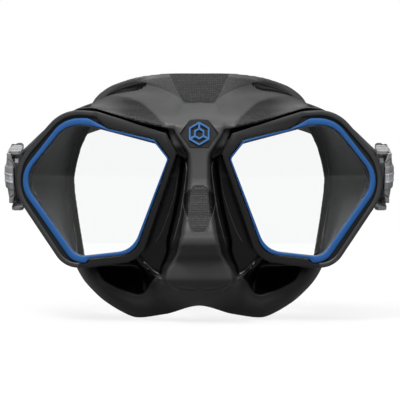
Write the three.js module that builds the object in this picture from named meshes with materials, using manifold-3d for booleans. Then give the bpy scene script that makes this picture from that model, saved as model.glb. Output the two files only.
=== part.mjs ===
// Two-lens diving mask with a silicone skirt, blue lens bezels and a swivelling strap harness.
// Millimetres. +X is the right side seen from the front, +Z is up, the front looks along -Y.
// The origin is the centre of the face seal. Each side is made once and mirrored in X.

import * as THREE from 'three';
import { mergeVertices } from 'three/addons/utils/BufferGeometryUtils.js';
import Module from 'manifold-3d';

const wasm = await Module();
wasm.setup();

// Driving dimensions

// Outer corner of the window at the temple. The bezel, the ring, the skirt and the ears follow it.
const TEMPLE_X = 80.8;

// Lens plane: the front of the glass, swept back towards the temples and the cheeks.
const LENS_SETBACK = 40;
const LENS_SWEEP = 0.1;
const LENS_TILT = 0.08;
const LENS_THICK = 3;
const LENS_TUCK = 1.6;
const LENS_CHAMFER = 0.8;
const FACE_INSET = 0.3;

// Frame
const FRAME_PROUD = 2.2;
const FRAME_DEPTH = 9.2;
const RING_WIDTH = 8.3;
const STRIP_WIDTH = 2.3;
const GROOVE_DEPTH = 1.5;
const BRIDGE_LOW = 16;
const BRIDGE_HIGH = 23;
const BRIDGE_FRONT = 0.6;
const BRIDGE_THICK = 5;

// Bezel
const BEZEL_WIDTH = 2.8;
const BEZEL_PROUD = 2.7;

// Skirt
const WALL = 2;
const LIP = 1;
const FLANGE_WIDTH = 5.5;
const RIM_ROLL = 5;
const TOE = 2.3;
const TOP_TOE = 4;
const PLATE_WIDTH = 3;
const NOSE_WALL = 2;

// Fits
const GAP = 0.3;
const RUN = 0.2;

// Length by which a cutting solid runs past what it cuts
const OVERCUT = 5;

// Harness: swivel axis along X, then everything on it in the harness's own frame
const PIVOT_Y = -13;
const PIVOT_Z = 6.6;
const HARNESS_TILT = 21;
const EAR_LAP = 2;
const EAR_THICK = 2.6;
const EAR_RADIUS = 4.8;
const PIN_RADIUS = 2;
const PIN_HEAD_RADIUS = 3.4;
const PIN_HEAD_THICK = 1.5;
const RIVET_DEPTH = 0.6;
const RIVET_FLARE = 0.9;

// Buckle
const BASE_THICK = 1.8;
const WALL_THICK = 1.6;
const WALL_RISE = 4.2;
const BUCKLE_HALF = 10.8;
const BASE_FRONT = -7.5;
const BASE_REAR = 8;
const CHEEK_REAR = 17.4;
const ROLLER_Y = 13.6;
const ROLLER_RADIUS = 1.5;
const AXLE_RADIUS = 1;
const COVER_HALF = 12.3;
const COVER_REAR = 9.3;
const COVER_RISE = 2.9;
const INLAY_HALF = 2.3;
const INLAY_THICK = 0.8;
const BUTTON_TRAVEL = 1.5;
const BUTTON_HEIGHT = 1.6;
const BUTTON_FRONT = -5;
const BUTTON_REAR = 4;
const PAWL_Y = 3;

// Strap
const STRAP_WIDTH = 16;
const STRAP_THICK = 2;
const STRAP_TAIL_LENGTH = 10.5;
const STRAP_REACH = 103;
const STRAP_DRAW_IN = 9;
const STRAP_PAD_WIDTH = 28;
const STRAP_SLOT_LENGTH = 46;
const STRAP_SLOT_HEIGHT = 9;

// Badge
const BADGE_CENTRE_Z = 25.1;
const BADGE_HALF_WIDTH = 8.4;
const BADGE_HALF_HEIGHT = 6.2;
const BADGE_FLAT = 3.9;
const BADGE_DEPTH = 1.6;
const EMBLEM_RADIUS = 5.3;
const EMBLEM_LINE = 0.9;

// Outlines of the right side seen from the front, as [x, z, corner radius], anticlockwise

const WINDOW = [
  [19.9, 21.2, 2],
  [14.2, 14.2, 2],
  [30.2, -27.4, 12],
  [55.9, -30.4, 7],
  [TEMPLE_X, 4.9, 12],
  [60.2, 29.9, 13],
  [50, 29.2, 10],
];

const BEZEL = [
  [20, 22.4, 3],
  [13.5, 14, 2.5],
  [29.3, -28.7, 10],
  [49.6, -31, 1],
  [51.6, -33, 1],
  [57.5, -33.1, 9],
  [TEMPLE_X + BEZEL_WIDTH, 4.45, 14],
  [61.1, 32.4, 15],
  [50, 32.3, 5],
  [41, 27.5, 4],
];

const RING = [
  [14.6, 25.4, 2],
  [10.4, 15.3, 3],
  [26.6, -32, 12],
  [49.1, -35.1, 10],
  [61.3, -35.6, 12],
  [TEMPLE_X + RING_WIDTH, 6.1, 22],
  [61.6, 36.7, 18],
  [46, 35.4, 12],
];

// Base plate of the skirt behind the frame
const PLATE = [
  [15.3, 25, 2],
  [11.3, 15.4, 3],
  [27.2, -30.6, 9],
  [57.2, -33, 9],
  [TEMPLE_X + PLATE_WIDTH, 5, 14],
  [62, 35.4, 15],
  [46, 34.8, 10],
];

// Skirt stations on the right side, from the top centre round to the bottom centre.
// front: where the skin leaves the frame; rim: the outer edge of the seal; bend: the two
// middle points of the skin's profile, as shares of the way outwards and of the way back.
const STATIONS = [
  { front: [0, -46, 28], rim: [0, -14, 56], bend: [0.3, 0.02, 0.5, 0.62] },
  { front: [12, -45.5, 27.2], rim: [15.2, -13.6, 55.8], bend: [0.3, 0.02, 0.45, 0.66] },
  { front: [28, -43.4, 30.6], rim: [30.8, -11, 53.6], bend: [0.4, 0, 0.3, 0.95] },
  { front: [43, -40.2, 35.4], rim: [43.6, -7.6, 49.5], bend: [0.35, 0.02, 0.25, 0.95] },
  { front: [49.8, -35.6, 37.2], rim: [51.4, -3.6, 44], bend: [0.25, 0.1, 0.25, 0.9] },
  { front: [58, 0, 36.4], rim: [57.4, 1.6, 35], bend: [0.2, 0.2, 0.4, 0.8] },
  { front: [70.1, 0, 22.6], rim: [64, 8, 23], bend: [0.3, 0.3, 0.7, 0.7] },
  { front: [reachAt(outline(PLATE), 5.4), 0, 5.4], rim: [68, 12, 6], bend: [0.3, 0.3, 0.7, 0.7] },
  { front: [71.7, 0, -13.2], rim: [66, 11, -12], bend: [0.3, 0.3, 0.7, 0.7] },
  { front: [62.5, 0, -26.3], rim: [63, 7, -28.5], bend: [0.1, 0.3, 0.3, 0.8] },
  { front: [56.6, 0, -32], rim: [61.2, 5.2, -37.2], bend: [0.05, 0.6, 0.3, 0.6] },
  { front: [48.7, 0, -32.8], rim: [55.8, 2, -45.6], bend: [0.05, 1.4, 0.45, 0.1] },
  { front: [37.7, 0, -31.5], rim: [45.6, -1, -54.8], bend: [0.1, 2, 0.5, -0.3] },
  { front: [28, 0, -31.4], rim: [31, -4, -61.9], bend: [0.1, 2, 0.5, -0.3] },
  { front: [19.2, -31, -39.4], rim: [15.4, -9, -59.6], bend: [0.3, 0.1, 0.6, 0.6] },
  { front: [0, -37.6, -45], rim: [0, -12, -56], bend: [0.3, 0.2, 0.7, 0.6] },
];

// Nose and bridge: down the middle, [z, crest y, half-width of the crest, run of the side]
const NOSE = [
  [31, -44, 11, 1.6],
  [28.5, -46, 11, 1.6],
  [25, -46.4, 10, 2],
  [21, -46.5, 7.2, 3],
  [15.3, -46.6, 3.6, 4.5],
  [5, -47.2, 3.2, 6],
  [0, -48.4, 3.8, 6],
  [-10, -51.2, 4.8, 7],
  [-20, -54, 6.2, 8],
  [-24, -54, 7.2, 8],
  [-29, -48.5, 8.4, 7],
  [-34, -44, 11, 6],
  [-38, -42.5, 14, 4.5],
  [-42, -40.4, 14.5, 3.5],
  [-46, -35.5, 9, 3],
];

// Half-width of the nose panel at its rows
const PANEL = [
  [31, 12.2],
  [25, 10.4],
  [21, 8.6],
  [17, 9.4],
  [8, 18],
  [0, 23],
  [-15, 26],
  [-27, 29.4],
  [-31, 29],
  [-34, 27.2],
  [-38, 22.6],
  [-40, 20],
  [-42, 16],
  [-44, 10.6],
  [-46, 6],
];

// Web behind the frame between the bridge and the two base plates
const WEB = [
  [0, 7, 1],
  [24, 7, 1],
  [24, 24.4, 1],
  [0, 24.4, 1],
];

// Materials
const BLACK_SILICONE = { color: 0x1b1b1c, roughness: 0.55, metalness: 0 };
const BLACK_PLASTIC = { color: 0x222324, roughness: 0.5, metalness: 0 };
const BLUE_PLASTIC = { color: 0x2760a6, roughness: 0.45, metalness: 0 };
const GREY_PLASTIC = { color: 0x6f7071, roughness: 0.45, metalness: 0 };
const DARK_PLASTIC = { color: 0x3a3b3c, roughness: 0.5, metalness: 0 };
const STEEL = { color: 0xb9bcc0, roughness: 0.3, metalness: 1 };
const BRIGHT_PLATE = { color: 0xd9dce2, roughness: 0.25, metalness: 0.6 };
const GLASS = { color: 0xe8f0f2, roughness: 0.03, metalness: 0 };

// General helpers

const mask = new THREE.Group();

function place(parent, name, geometry, look) {
  const mesh = new THREE.Mesh(geometry, new THREE.MeshStandardMaterial(look));
  mesh.name = name;
  parent.add(mesh);
  return mesh;
}

function signedVolume(position, index) {
  const a = new THREE.Vector3();
  const b = new THREE.Vector3();
  const c = new THREE.Vector3();
  let volume = 0;
  for (let i = 0; i < index.count; i += 3) {
    a.fromBufferAttribute(position, index.getX(i));
    b.fromBufferAttribute(position, index.getX(i + 1));
    c.fromBufferAttribute(position, index.getX(i + 2));
    volume += a.dot(b.cross(c)) / 6;
  }
  return volume;
}

// Merges shared vertices and turns the faces outwards.
function closed(geometry) {
  const bare = geometry.clone();
  bare.deleteAttribute('normal');
  bare.deleteAttribute('uv');
  const merged = mergeVertices(bare, 1e-4);
  if (signedVolume(merged.attributes.position, merged.index) < 0) {
    const order = merged.index;
    for (let i = 0; i < order.count; i += 3) {
      const first = order.getX(i);
      order.setX(i, order.getX(i + 1));
      order.setX(i + 1, first);
    }
  }
  return merged;
}

function solid(geometry) {
  const body = closed(geometry);
  return new wasm.Manifold(new wasm.Mesh({
    numProp: 3,
    vertProperties: new Float32Array(body.attributes.position.array),
    triVerts: new Uint32Array(body.index.array),
  }));
}

function surface(manifold) {
  const mesh = manifold.getMesh();
  const geometry = new THREE.BufferGeometry();
  geometry.setAttribute('position', new THREE.BufferAttribute(mesh.vertProperties, 3));
  geometry.setIndex(new THREE.BufferAttribute(mesh.triVerts, 1));
  return geometry;
}

// Moves every vertex of a geometry through a function of its position.
function warp(geometry, move) {
  const position = geometry.attributes.position;
  const point = new THREE.Vector3();
  for (let i = 0; i < position.count; i += 1) {
    point.fromBufferAttribute(position, i);
    move(point);
    position.setXYZ(i, point.x, point.y, point.z);
  }
  return geometry;
}

function mirrored(geometry) {
  return closed(warp(geometry.clone(), (p) => {
    p.x = -p.x;
  }));
}

// Value of a table [key, value, ...] at a key, blended smoothly, keys falling.
function lookUp(table, key, column) {
  if (key >= table[0][0]) {
    return table[0][column];
  }
  for (let i = 1; i < table.length; i += 1) {
    if (key >= table[i][0]) {
      const share = (table[i - 1][0] - key) / (table[i - 1][0] - table[i][0]);
      const before = table[Math.max(i - 2, 0)][column];
      const start = table[i - 1][column];
      const end = table[i][column];
      const after = table[Math.min(i + 1, table.length - 1)][column];
      return spline(before, start, end, after, share);
    }
  }
  return table[table.length - 1][column];
}

// Catmull-Rom value between b and c, with softened tangents.
function spline(a, b, c, d, t) {
  const tangentB = (c - a) * 0.42;
  const tangentC = (d - b) * 0.42;
  const t2 = t * t;
  const t3 = t2 * t;
  return (2 * t3 - 3 * t2 + 1) * b + (t3 - 2 * t2 + t) * tangentB
    + (3 * t2 - 2 * t3) * c + (t3 - t2) * tangentC;
}

function smoothstep(t) {
  const u = Math.min(Math.max(t, 0), 1);
  return u * u * (3 - 2 * u);
}

function bezier3(a, b, c, d, t) {
  const s = 1 - t;
  return s * s * s * a + 3 * s * s * t * b + 3 * s * t * t * c + t * t * t * d;
}

function bezier2(a, b, c, t) {
  const s = 1 - t;
  return s * s * a + 2 * s * t * b + t * t * c;
}

// Outline with rounded corners, grown outwards by an offset. Corners are [x, z, radius].
function outline(corners, offset = 0, degreesPerStep = 15) {
  const count = corners.length;
  const normals = [];
  for (let i = 0; i < count; i += 1) {
    const [ax, az] = corners[i];
    const [bx, bz] = corners[(i + 1) % count];
    const length = Math.hypot(bx - ax, bz - az);
    normals.push([(bz - az) / length, -(bx - ax) / length]);
  }
  const points = [];
  for (let i = 0; i < count; i += 1) {
    const [x, z, radius] = corners[i];
    const before = normals[(i + count - 1) % count];
    const after = normals[i];
    const turn = Math.asin(THREE.MathUtils.clamp(before[0] * after[1] - before[1] * after[0], -1, 1));
    const cosine = 1 + before[0] * after[0] + before[1] * after[1];
    const cx = x + offset * (before[0] + after[0]) / cosine;
    const cz = z + offset * (before[1] + after[1]) / cosine;
    const convex = turn > 0;
    const bendRadius = Math.max(radius + (convex ? offset : -offset), 0.2);
    const side = convex ? 1 : -1;
    const ox = cx - side * bendRadius * (before[0] + after[0]) / cosine;
    const oz = cz - side * bendRadius * (before[1] + after[1]) / cosine;
    const sweep = Math.acos(THREE.MathUtils.clamp(cosine - 1, -1, 1));
    const steps = Math.max(1, Math.round(THREE.MathUtils.radToDeg(sweep) / degreesPerStep));
    const start = Math.atan2(side * before[1], side * before[0]);
    for (let k = 0; k <= steps; k += 1) {
      const angle = start + side * sweep * k / steps;
      points.push(new THREE.Vector2(ox + bendRadius * Math.cos(angle), oz + bendRadius * Math.sin(angle)));
    }
  }
  return points;
}

// How far right an outline reaches at a height.
function reachAt(points, z) {
  let reach = 0;
  points.forEach((a, i) => {
    const b = points[(i + 1) % points.length];
    if ((a.y - z) * (b.y - z) <= 0 && a.y !== b.y) {
      reach = Math.max(reach, a.x + (b.x - a.x) * (z - a.y) / (b.y - a.y));
    }
  });
  return reach;
}

// Depth of the lens plane at a point of the front view.
function lensPlane(x, z) {
  return -LENS_SETBACK + LENS_SWEEP * Math.abs(x) - LENS_TILT * z;
}

// Slab between two depths behind the lens plane, with a front-view outline of the right side.
function slab(points, front, back) {
  const shape = new THREE.Shape(points);
  const geometry = new THREE.ExtrudeGeometry(shape, { depth: back - front, bevelEnabled: false });
  return warp(geometry, (p) => {
    const depth = front + p.z;
    p.set(p.x, lensPlane(p.x, p.y) + depth, p.y);
  });
}

// Closed skin through rings of equal length. Rings close on themselves; the ends are
// joined to each other, or capped between the two halves of the first and last ring.
function skin(rings, endless) {
  const around = rings[0].length;
  const vertices = rings.flat().flatMap((p) => [p.x, p.y, p.z]);
  const faces = [];
  const spans = endless ? rings.length : rings.length - 1;
  for (let i = 0; i < spans; i += 1) {
    const here = i * around;
    const next = ((i + 1) % rings.length) * around;
    for (let k = 0; k < around; k += 1) {
      const right = (k + 1) % around;
      faces.push(here + k, next + k, next + right, here + k, next + right, here + right);
    }
  }
  if (!endless) {
    for (const [ring, flip] of [[0, false], [rings.length - 1, true]]) {
      const start = ring * around;
      for (let k = 0; k < around / 2 - 1; k += 1) {
        const quad = [start + k, start + k + 1, start + around - 2 - k, start + around - 1 - k];
        const [a, b, c, d] = flip ? quad.reverse() : quad;
        faces.push(a, b, c, a, c, d);
      }
    }
  }
  const geometry = new THREE.BufferGeometry();
  geometry.setAttribute('position', new THREE.Float32BufferAttribute(vertices, 3));
  geometry.setIndex(faces);
  return geometry;
}

function box(low, high) {
  const geometry = new THREE.BoxGeometry(high[0] - low[0], high[1] - low[1], high[2] - low[2]);
  return geometry.translate((low[0] + high[0]) / 2, (low[1] + high[1]) / 2, (low[2] + high[2]) / 2);
}

// Cylinder along X, Y or Z between two places on that axis.
function rod(axis, radius, from, to, at, sides = 24) {
  const geometry = new THREE.CylinderGeometry(radius, radius, to - from, sides);
  geometry.translate(0, (from + to) / 2, 0);
  if (axis === 'x') {
    geometry.rotateZ(-Math.PI / 2).translate(0, at[0], at[1]);
  } else if (axis === 'z') {
    geometry.rotateX(Math.PI / 2).translate(at[0], at[1], 0);
  } else {
    geometry.translate(at[0], 0, at[1]);
  }
  return geometry;
}

// Prism of an (x, y) outline between two heights.
function prismZ(points, low, high) {
  const shape = new THREE.Shape(points.map(([x, y]) => new THREE.Vector2(x, y)));
  return new THREE.ExtrudeGeometry(shape, { depth: high - low, bevelEnabled: false }).translate(0, 0, low);
}

// Prism of an (x, z) outline between two depths.
function prismY(points, low, high) {
  const shape = new THREE.Shape(points.map(([x, z]) => new THREE.Vector2(x, z)));
  const geometry = new THREE.ExtrudeGeometry(shape, { depth: high - low, bevelEnabled: false });
  return warp(geometry, (p) => p.set(p.x, low + p.z, p.y));
}

// Skirt: back of the frame, which the silicone's base plate lies against
const BASE_DEPTH = FRAME_DEPTH - FRAME_PROUD + GAP;

// One station's values, with the depths that are left at 0 taken from the base plate.
function stationValues(station) {
  const [x, y, z] = station.front;
  const base = lensPlane(x, z) + BASE_DEPTH;
  const front = y === 0 ? base : y;
  return [x, front, z, ...station.rim, ...station.bend];
}

function skirtStations(stepsEach) {
  const right = STATIONS.map(stationValues);
  const left = right.slice(1, -1).reverse().map((v) => [-v[0], v[1], v[2], -v[3], ...v.slice(4)]);
  const all = [...right, ...left];
  const count = all.length;
  const values = [];
  for (let i = 0; i < count; i += 1) {
    for (let k = 0; k < stepsEach; k += 1) {
      values.push(all[i].map((_, c) => spline(
        all[(i + count - 1) % count][c],
        all[i][c],
        all[(i + 1) % count][c],
        all[(i + 2) % count][c],
        k / stepsEach,
      )));
    }
  }
  return values;
}

// Profile of the band at one place: from the frame to the rim, over it and in along the flange,
// then back along the inside. The way outwards is square to the rim's own line.
function bandRing(values, outward) {
  const [fx, fy, fz, rx, ry, rz, out1, back1, out2, back2] = values;
  const base = lensPlane(fx, fz) + BASE_DEPTH;
  const roll = 1.8;
  const rim = [rx - roll * outward[0], ry, rz - roll * outward[1]];
  const middle = (out, back) => [
    fx + (rim[0] - fx) * out,
    fy + (rim[1] - fy) * back,
    fz + (rim[2] - fz) * out,
  ];
  const c1 = middle(out1, back1);
  const c2 = middle(out2, back2);
  const run = new THREE.Vector3(rim[0] - c2[0], rim[1] - c2[1], rim[2] - c2[2]).setLength(RIM_ROLL);
  const knee = [rim[0] + run.x, rim[1] + run.y, rim[2] + run.z];
  const tip = [rim[0] - FLANGE_WIDTH * outward[0], rim[1] + 1, rim[2] - FLANGE_WIDTH * outward[1]];

  const hook = smoothstep((base - fy) / 8);
  const at = (out, y) => [fx + out * outward[0], y, fz + out * outward[1]];
  const wallSteps = 7;
  const flangeSteps = 3;
  const toe = TOE + (TOP_TOE - TOE) * hook;
  const outer = [at(-toe, base), at(-toe / 2 * (1 - hook), base), [fx, fy, fz]];
  const lead = outer.length - 1;
  for (let k = 1; k <= wallSteps; k += 1) {
    const t = k / wallSteps;
    outer.push([0, 1, 2].map((c) => bezier3([fx, fy, fz][c], c1[c], c2[c], rim[c], t)));
  }
  for (let k = 1; k <= flangeSteps; k += 1) {
    outer.push([0, 1, 2].map((c) => bezier2(rim[c], knee[c], tip[c], k / flangeSteps)));
  }

  const across = (p) => p[0] * outward[0] + p[2] * outward[1];
  const last = outer.length - 1;
  const inner = outer.map((p, i) => {
    if (i === 0) {
      return at(-toe, base + WALL);
    }
    if (i === 1) {
      return at(-WALL - 0.15 + hook * (WALL + 1.5), base + WALL + 0.3);
    }
    const a = outer[Math.max(i - 1, lead)];
    const b = outer[Math.min(i + 1, last)];
    const dr = across(b) - across(a);
    const dy = b[1] - a[1];
    const length = Math.hypot(dr, dy);
    const thinning = (i - lead - wallSteps / 3) / (wallSteps / 2);
    const thick = WALL + (LIP - WALL) * smoothstep(thinning);
    const offset = [
      p[0] - outward[0] * thick * dy / length,
      p[1] + thick * dr / length + (i === lead ? WALL + 0.9 : 0) * (1 - hook),
      p[2] - outward[1] * thick * dy / length,
    ];
    const share = Math.min((i - lead) / wallSteps / 0.75, 1);
    const weight = hook * (1 - share) * (1 - share);
    const root = at(WALL + 0.5, base - 2 - (i - lead));
    return offset.map((value, c) => value + (root[c] - value) * weight);
  });
  return [...outer, ...inner.reverse()].map((p) => new THREE.Vector3(...p));
}

function skirtBand(stepsEach) {
  const values = skirtStations(stepsEach);
  const count = values.length;
  const rings = values.map((v, i) => {
    const before = values[(i + count - 1) % count];
    const after = values[(i + 1) % count];
    const dx = after[3] - before[3];
    const dz = after[5] - before[5];
    const length = Math.hypot(dx, dz);
    return bandRing(v, [-dz / length, dx / length]);
  });
  return skin(rings, true);
}

// Depth of the nose panel at a point: a crest in the middle that falls to the base plate.
// The inside has the same form, a wall's thickness further back and narrower.
function noseDepth(x, z, wall) {
  const crest = lookUp(NOSE, z, 1);
  const half = lookUp(NOSE, z, 2) - 0.8 * wall;
  const run = lookUp(NOSE, z, 3);
  const share = smoothstep((Math.abs(x) - half) / run);
  const base = lensPlane(x, z) + BASE_DEPTH + GAP;
  return crest + (base - crest) * share + wall;
}

// Column of the nose panel: its lines follow the crest's edge and the foot of its side.
function nosePlace(share, z) {
  const along = Math.abs(share);
  const crest = lookUp(NOSE, z, 2);
  const foot = crest + lookUp(NOSE, z, 3);
  const edge = Math.max(lookUp(PANEL, z, 1), foot + 0.4);
  let x = crest * along / 0.25;
  if (along > 0.75) {
    x = foot + (edge - foot) * (along - 0.75) / 0.25;
  } else if (along > 0.25) {
    x = crest + (foot - crest) * (along - 0.25) / 0.5;
  }
  return x * Math.sign(share);
}

function nosePanel() {
  const rows = 28;
  const columns = 20;
  const top = NOSE[0][0];
  const bottom = NOSE[NOSE.length - 1][0];
  const rings = [];
  for (let i = 0; i <= rows; i += 1) {
    const z = top + (bottom - top) * i / rows;
    const front = [];
    const back = [];
    for (let k = 0; k <= columns; k += 1) {
      const x = nosePlace(2 * k / columns - 1, z);
      front.push(new THREE.Vector3(x, noseDepth(x, z, 0), z));
      back.push(new THREE.Vector3(x, noseDepth(x, z, NOSE_WALL), z));
    }
    rings.push([...front, ...back.reverse()]);
  }
  return skin(rings, false);
}

// Tunnel through the middle of the skirt for the frame's bridge
function bridgeBar(clearance) {
  const reach = RING[1][0] + 4;
  const front = lensPlane(0, 0) + BRIDGE_FRONT - clearance;
  return box(
    [-reach, front, BRIDGE_LOW - clearance],
    [reach, front + BRIDGE_THICK + 2 * clearance, BRIDGE_HIGH + clearance],
  );
}

function badgeOutline(clearance) {
  const halfWidth = BADGE_HALF_WIDTH + clearance;
  const halfHeight = BADGE_HALF_HEIGHT + clearance;
  const flat = BADGE_FLAT + clearance / 2;
  return [
    [halfWidth, BADGE_CENTRE_Z],
    [flat, BADGE_CENTRE_Z + halfHeight],
    [-flat, BADGE_CENTRE_Z + halfHeight],
    [-halfWidth, BADGE_CENTRE_Z],
    [-flat, BADGE_CENTRE_Z - halfHeight],
    [flat, BADGE_CENTRE_Z - halfHeight],
  ];
}

// Front of the silicone where the badge is let in
const BADGE_FRONT = NOSE[1][1];
const BADGE_FLOOR = BADGE_FRONT + BADGE_DEPTH;

function skirtGeometry() {
  let body = solid(skirtBand(2)).add(solid(nosePanel()));
  const blockHalf = RING[1][0] - 2.3;
  const barFront = lensPlane(0, 0) + BRIDGE_FRONT;
  const cover = GAP + WALL;
  const block = box(
    [-blockHalf, barFront - cover, BRIDGE_LOW - cover],
    [blockHalf, barFront + BRIDGE_THICK + cover, BRIDGE_HIGH + cover + 4],
  );
  body = body.add(solid(block));
  const collarFront = LENS_THICK + GAP;
  for (const side of [1, -1]) {
    const sided = (geometry) => solid(side > 0 ? geometry : mirrored(geometry));
    const plate = slab(outline(PLATE), BASE_DEPTH, BASE_DEPTH + WALL);
    const collar = slab(outline(WINDOW, LENS_TUCK), collarFront, BASE_DEPTH + WALL / 2);
    const view = slab(outline(WINDOW), collarFront - 2, BASE_DEPTH + WALL + 1);
    const web = slab(outline(WEB), BASE_DEPTH + GAP / 2, BASE_DEPTH + WALL + GAP / 2);
    body = body.add(sided(plate)).add(sided(web)).add(sided(collar)).subtract(sided(view));
  }
  body = body.subtract(solid(bridgeBar(GAP)));
  body = body.subtract(solid(prismY(badgeOutline(GAP), BADGE_FRONT - 20, BADGE_FLOOR + GAP)));
  return surface(body);
}

// Frame: two rings, the bridge in the skirt's tunnel, and an ear at each side for the swivel pin

const EAR_INNER = reachAt(outline(RING), PIVOT_Z) - EAR_LAP;

function frameGeometry() {
  const back = FRAME_DEPTH - FRAME_PROUD;
  let body = solid(bridgeBar(0));
  for (const side of [1, -1]) {
    const sided = (geometry) => solid(side > 0 ? geometry : mirrored(geometry));
    const ring = slab(outline(RING), -FRAME_PROUD, back);
    const seat = slab(outline(BEZEL, GAP), -FRAME_PROUD - OVERCUT, -GAP);
    const bore = slab(outline(WINDOW, LENS_TUCK + GAP), -GAP - 0.5, back + OVERCUT);
    const grooveFloor = -FRAME_PROUD + GROOVE_DEPTH;
    const groove = slab(outline(RING, -STRIP_WIDTH), -FRAME_PROUD - OVERCUT, grooveFloor);
    const earLow = [EAR_INNER, lensPlane(EAR_INNER, PIVOT_Z) + 1, PIVOT_Z - EAR_RADIUS];
    const earOuter = EAR_INNER + EAR_THICK;
    const earHigh = [earOuter, PIVOT_Y, PIVOT_Z + EAR_RADIUS];
    const earEnd = rod('x', EAR_RADIUS, EAR_INNER, earOuter, [PIVOT_Y, PIVOT_Z], 32);
    const earHole = rod('x', PIN_RADIUS + RUN, EAR_INNER - OVERCUT, earOuter + OVERCUT, [PIVOT_Y, PIVOT_Z]);
    body = body.add(sided(ring));
    body = body.add(sided(box(earLow, earHigh))).add(sided(earEnd)).subtract(sided(earHole));
    body = body.subtract(sided(groove)).subtract(sided(seat)).subtract(sided(bore));
  }
  return surface(body);
}

// Bezel: flat ring that holds the lens, wide at the temple and narrow at the nose

function bezelGeometry() {
  const body = solid(slab(outline(BEZEL), -BEZEL_PROUD, -GAP));
  return surface(body.subtract(solid(slab(outline(WINDOW), -BEZEL_PROUD - OVERCUT, OVERCUT))));
}

// Lens: flat glass with a chamfered edge under the bezel

function lensGeometry() {
  const front = outline(WINDOW, -FACE_INSET);
  const edge = outline(WINDOW, LENS_TUCK);
  const ring = (points, depth) => points.map((p) => new THREE.Vector3(
    p.x,
    lensPlane(p.x, p.y) + depth,
    p.y,
  ));
  const rings = [ring(front, 0), ring(edge, LENS_CHAMFER), ring(edge, LENS_THICK)];
  const around = front.length;
  const vertices = rings.flat().flatMap((p) => [p.x, p.y, p.z]);
  const faces = [];
  for (let i = 0; i < rings.length - 1; i += 1) {
    for (let k = 0; k < around; k += 1) {
      const right = (k + 1) % around;
      const here = i * around;
      const next = here + around;
      faces.push(here + k, next + k, next + right, here + k, next + right, here + right);
    }
  }
  const lastRing = (rings.length - 1) * around;
  for (const [a, b, c] of THREE.ShapeUtils.triangulateShape(front, [])) {
    faces.push(a, b, c);
  }
  for (const [a, b, c] of THREE.ShapeUtils.triangulateShape(edge, [])) {
    faces.push(lastRing + c, lastRing + b, lastRing + a);
  }
  const geometry = new THREE.BufferGeometry();
  geometry.setAttribute('position', new THREE.Float32BufferAttribute(vertices, 3));
  geometry.setIndex(faces);
  return closed(geometry);
}

// Badge: a six-sided plate let into the bridge, with a plain six-sided emblem on it

const PLATE_THICK = 0.7;

function hexagon(radius) {
  const points = [];
  for (let k = 0; k < 6; k += 1) {
    const angle = k * Math.PI / 3 + Math.PI / 6;
    points.push([radius * Math.cos(angle), BADGE_CENTRE_Z + radius * Math.sin(angle)]);
  }
  return points;
}

function badgePlateGeometry() {
  return closed(prismY(badgeOutline(0), BADGE_FLOOR - PLATE_THICK, BADGE_FLOOR));
}

function emblemGeometry() {
  const back = BADGE_FLOOR - PLATE_THICK - GAP;
  const front = back - PLATE_THICK;
  const ring = (radius) => solid(prismY(hexagon(radius), front, back))
    .subtract(solid(prismY(hexagon(radius - EMBLEM_LINE), front - 1, back + 1)));
  const inner = EMBLEM_RADIUS / 2;
  let body = ring(EMBLEM_RADIUS).add(ring(inner));
  for (let k = 0; k < 3; k += 1) {
    const spoke = box(
      [inner - EMBLEM_LINE * 0.7, front, -EMBLEM_LINE / 2],
      [EMBLEM_RADIUS - EMBLEM_LINE, back, EMBLEM_LINE / 2],
    );
    spoke.rotateY(-Math.PI / 2 - k * 2 * Math.PI / 3).translate(0, 0, BADGE_CENTRE_Z);
    body = body.add(solid(spoke));
  }
  return surface(body);
}

// Buckle, right side, in the harness's frame: the swivel axis is X through the origin

const BASE_INNER = EAR_INNER + EAR_THICK + GAP;
const BASE_OUTER = BASE_INNER + BASE_THICK;
const WALL_TOP = BASE_INNER + WALL_RISE;
const COVER_INNER = WALL_TOP + GAP;
const COVER_OUTER = COVER_INNER + COVER_RISE;
const CHANNEL_HALF = BUCKLE_HALF - WALL_THICK;
const WRAP_RADIUS = ROLLER_RADIUS + GAP + STRAP_THICK / 2;
const ROLLER_X = BASE_INNER - 0.5 + STRAP_THICK / 2 + WRAP_RADIUS;
const PAWL_X = BASE_OUTER + 1.3;
const PAWL_PIVOT_RADIUS = 0.9;
const STEM_LOW_X = BASE_OUTER + 0.4;
const STEM_HIGH_X = WALL_TOP - 0.4;
const STEM_FRONT = -3;
const STEM_REAR = -0.6;
const STEM_END = 5.5;
const BUTTON_UNDER = BUCKLE_HALF + GAP + BUTTON_TRAVEL;

// Pin with a head inside the ear and a riveted end sunk in the buckle's base
function pinGeometry() {
  const rivetRadius = PIN_RADIUS + RIVET_FLARE;
  const profile = [
    [0, EAR_INNER - GAP - PIN_HEAD_THICK],
    [PIN_HEAD_RADIUS - 0.5, EAR_INNER - GAP - PIN_HEAD_THICK],
    [PIN_HEAD_RADIUS, EAR_INNER - GAP - PIN_HEAD_THICK + 0.5],
    [PIN_HEAD_RADIUS, EAR_INNER - GAP],
    [PIN_RADIUS, EAR_INNER - GAP],
    [PIN_RADIUS, BASE_OUTER - RIVET_DEPTH],
    [rivetRadius, BASE_OUTER - RIVET_DEPTH],
    [rivetRadius, BASE_OUTER],
    [0, BASE_OUTER],
  ];
  const lathe = new THREE.LatheGeometry(profile.map(([r, h]) => new THREE.Vector2(r, h)), 24);
  return closed(lathe.rotateZ(-Math.PI / 2));
}

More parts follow.
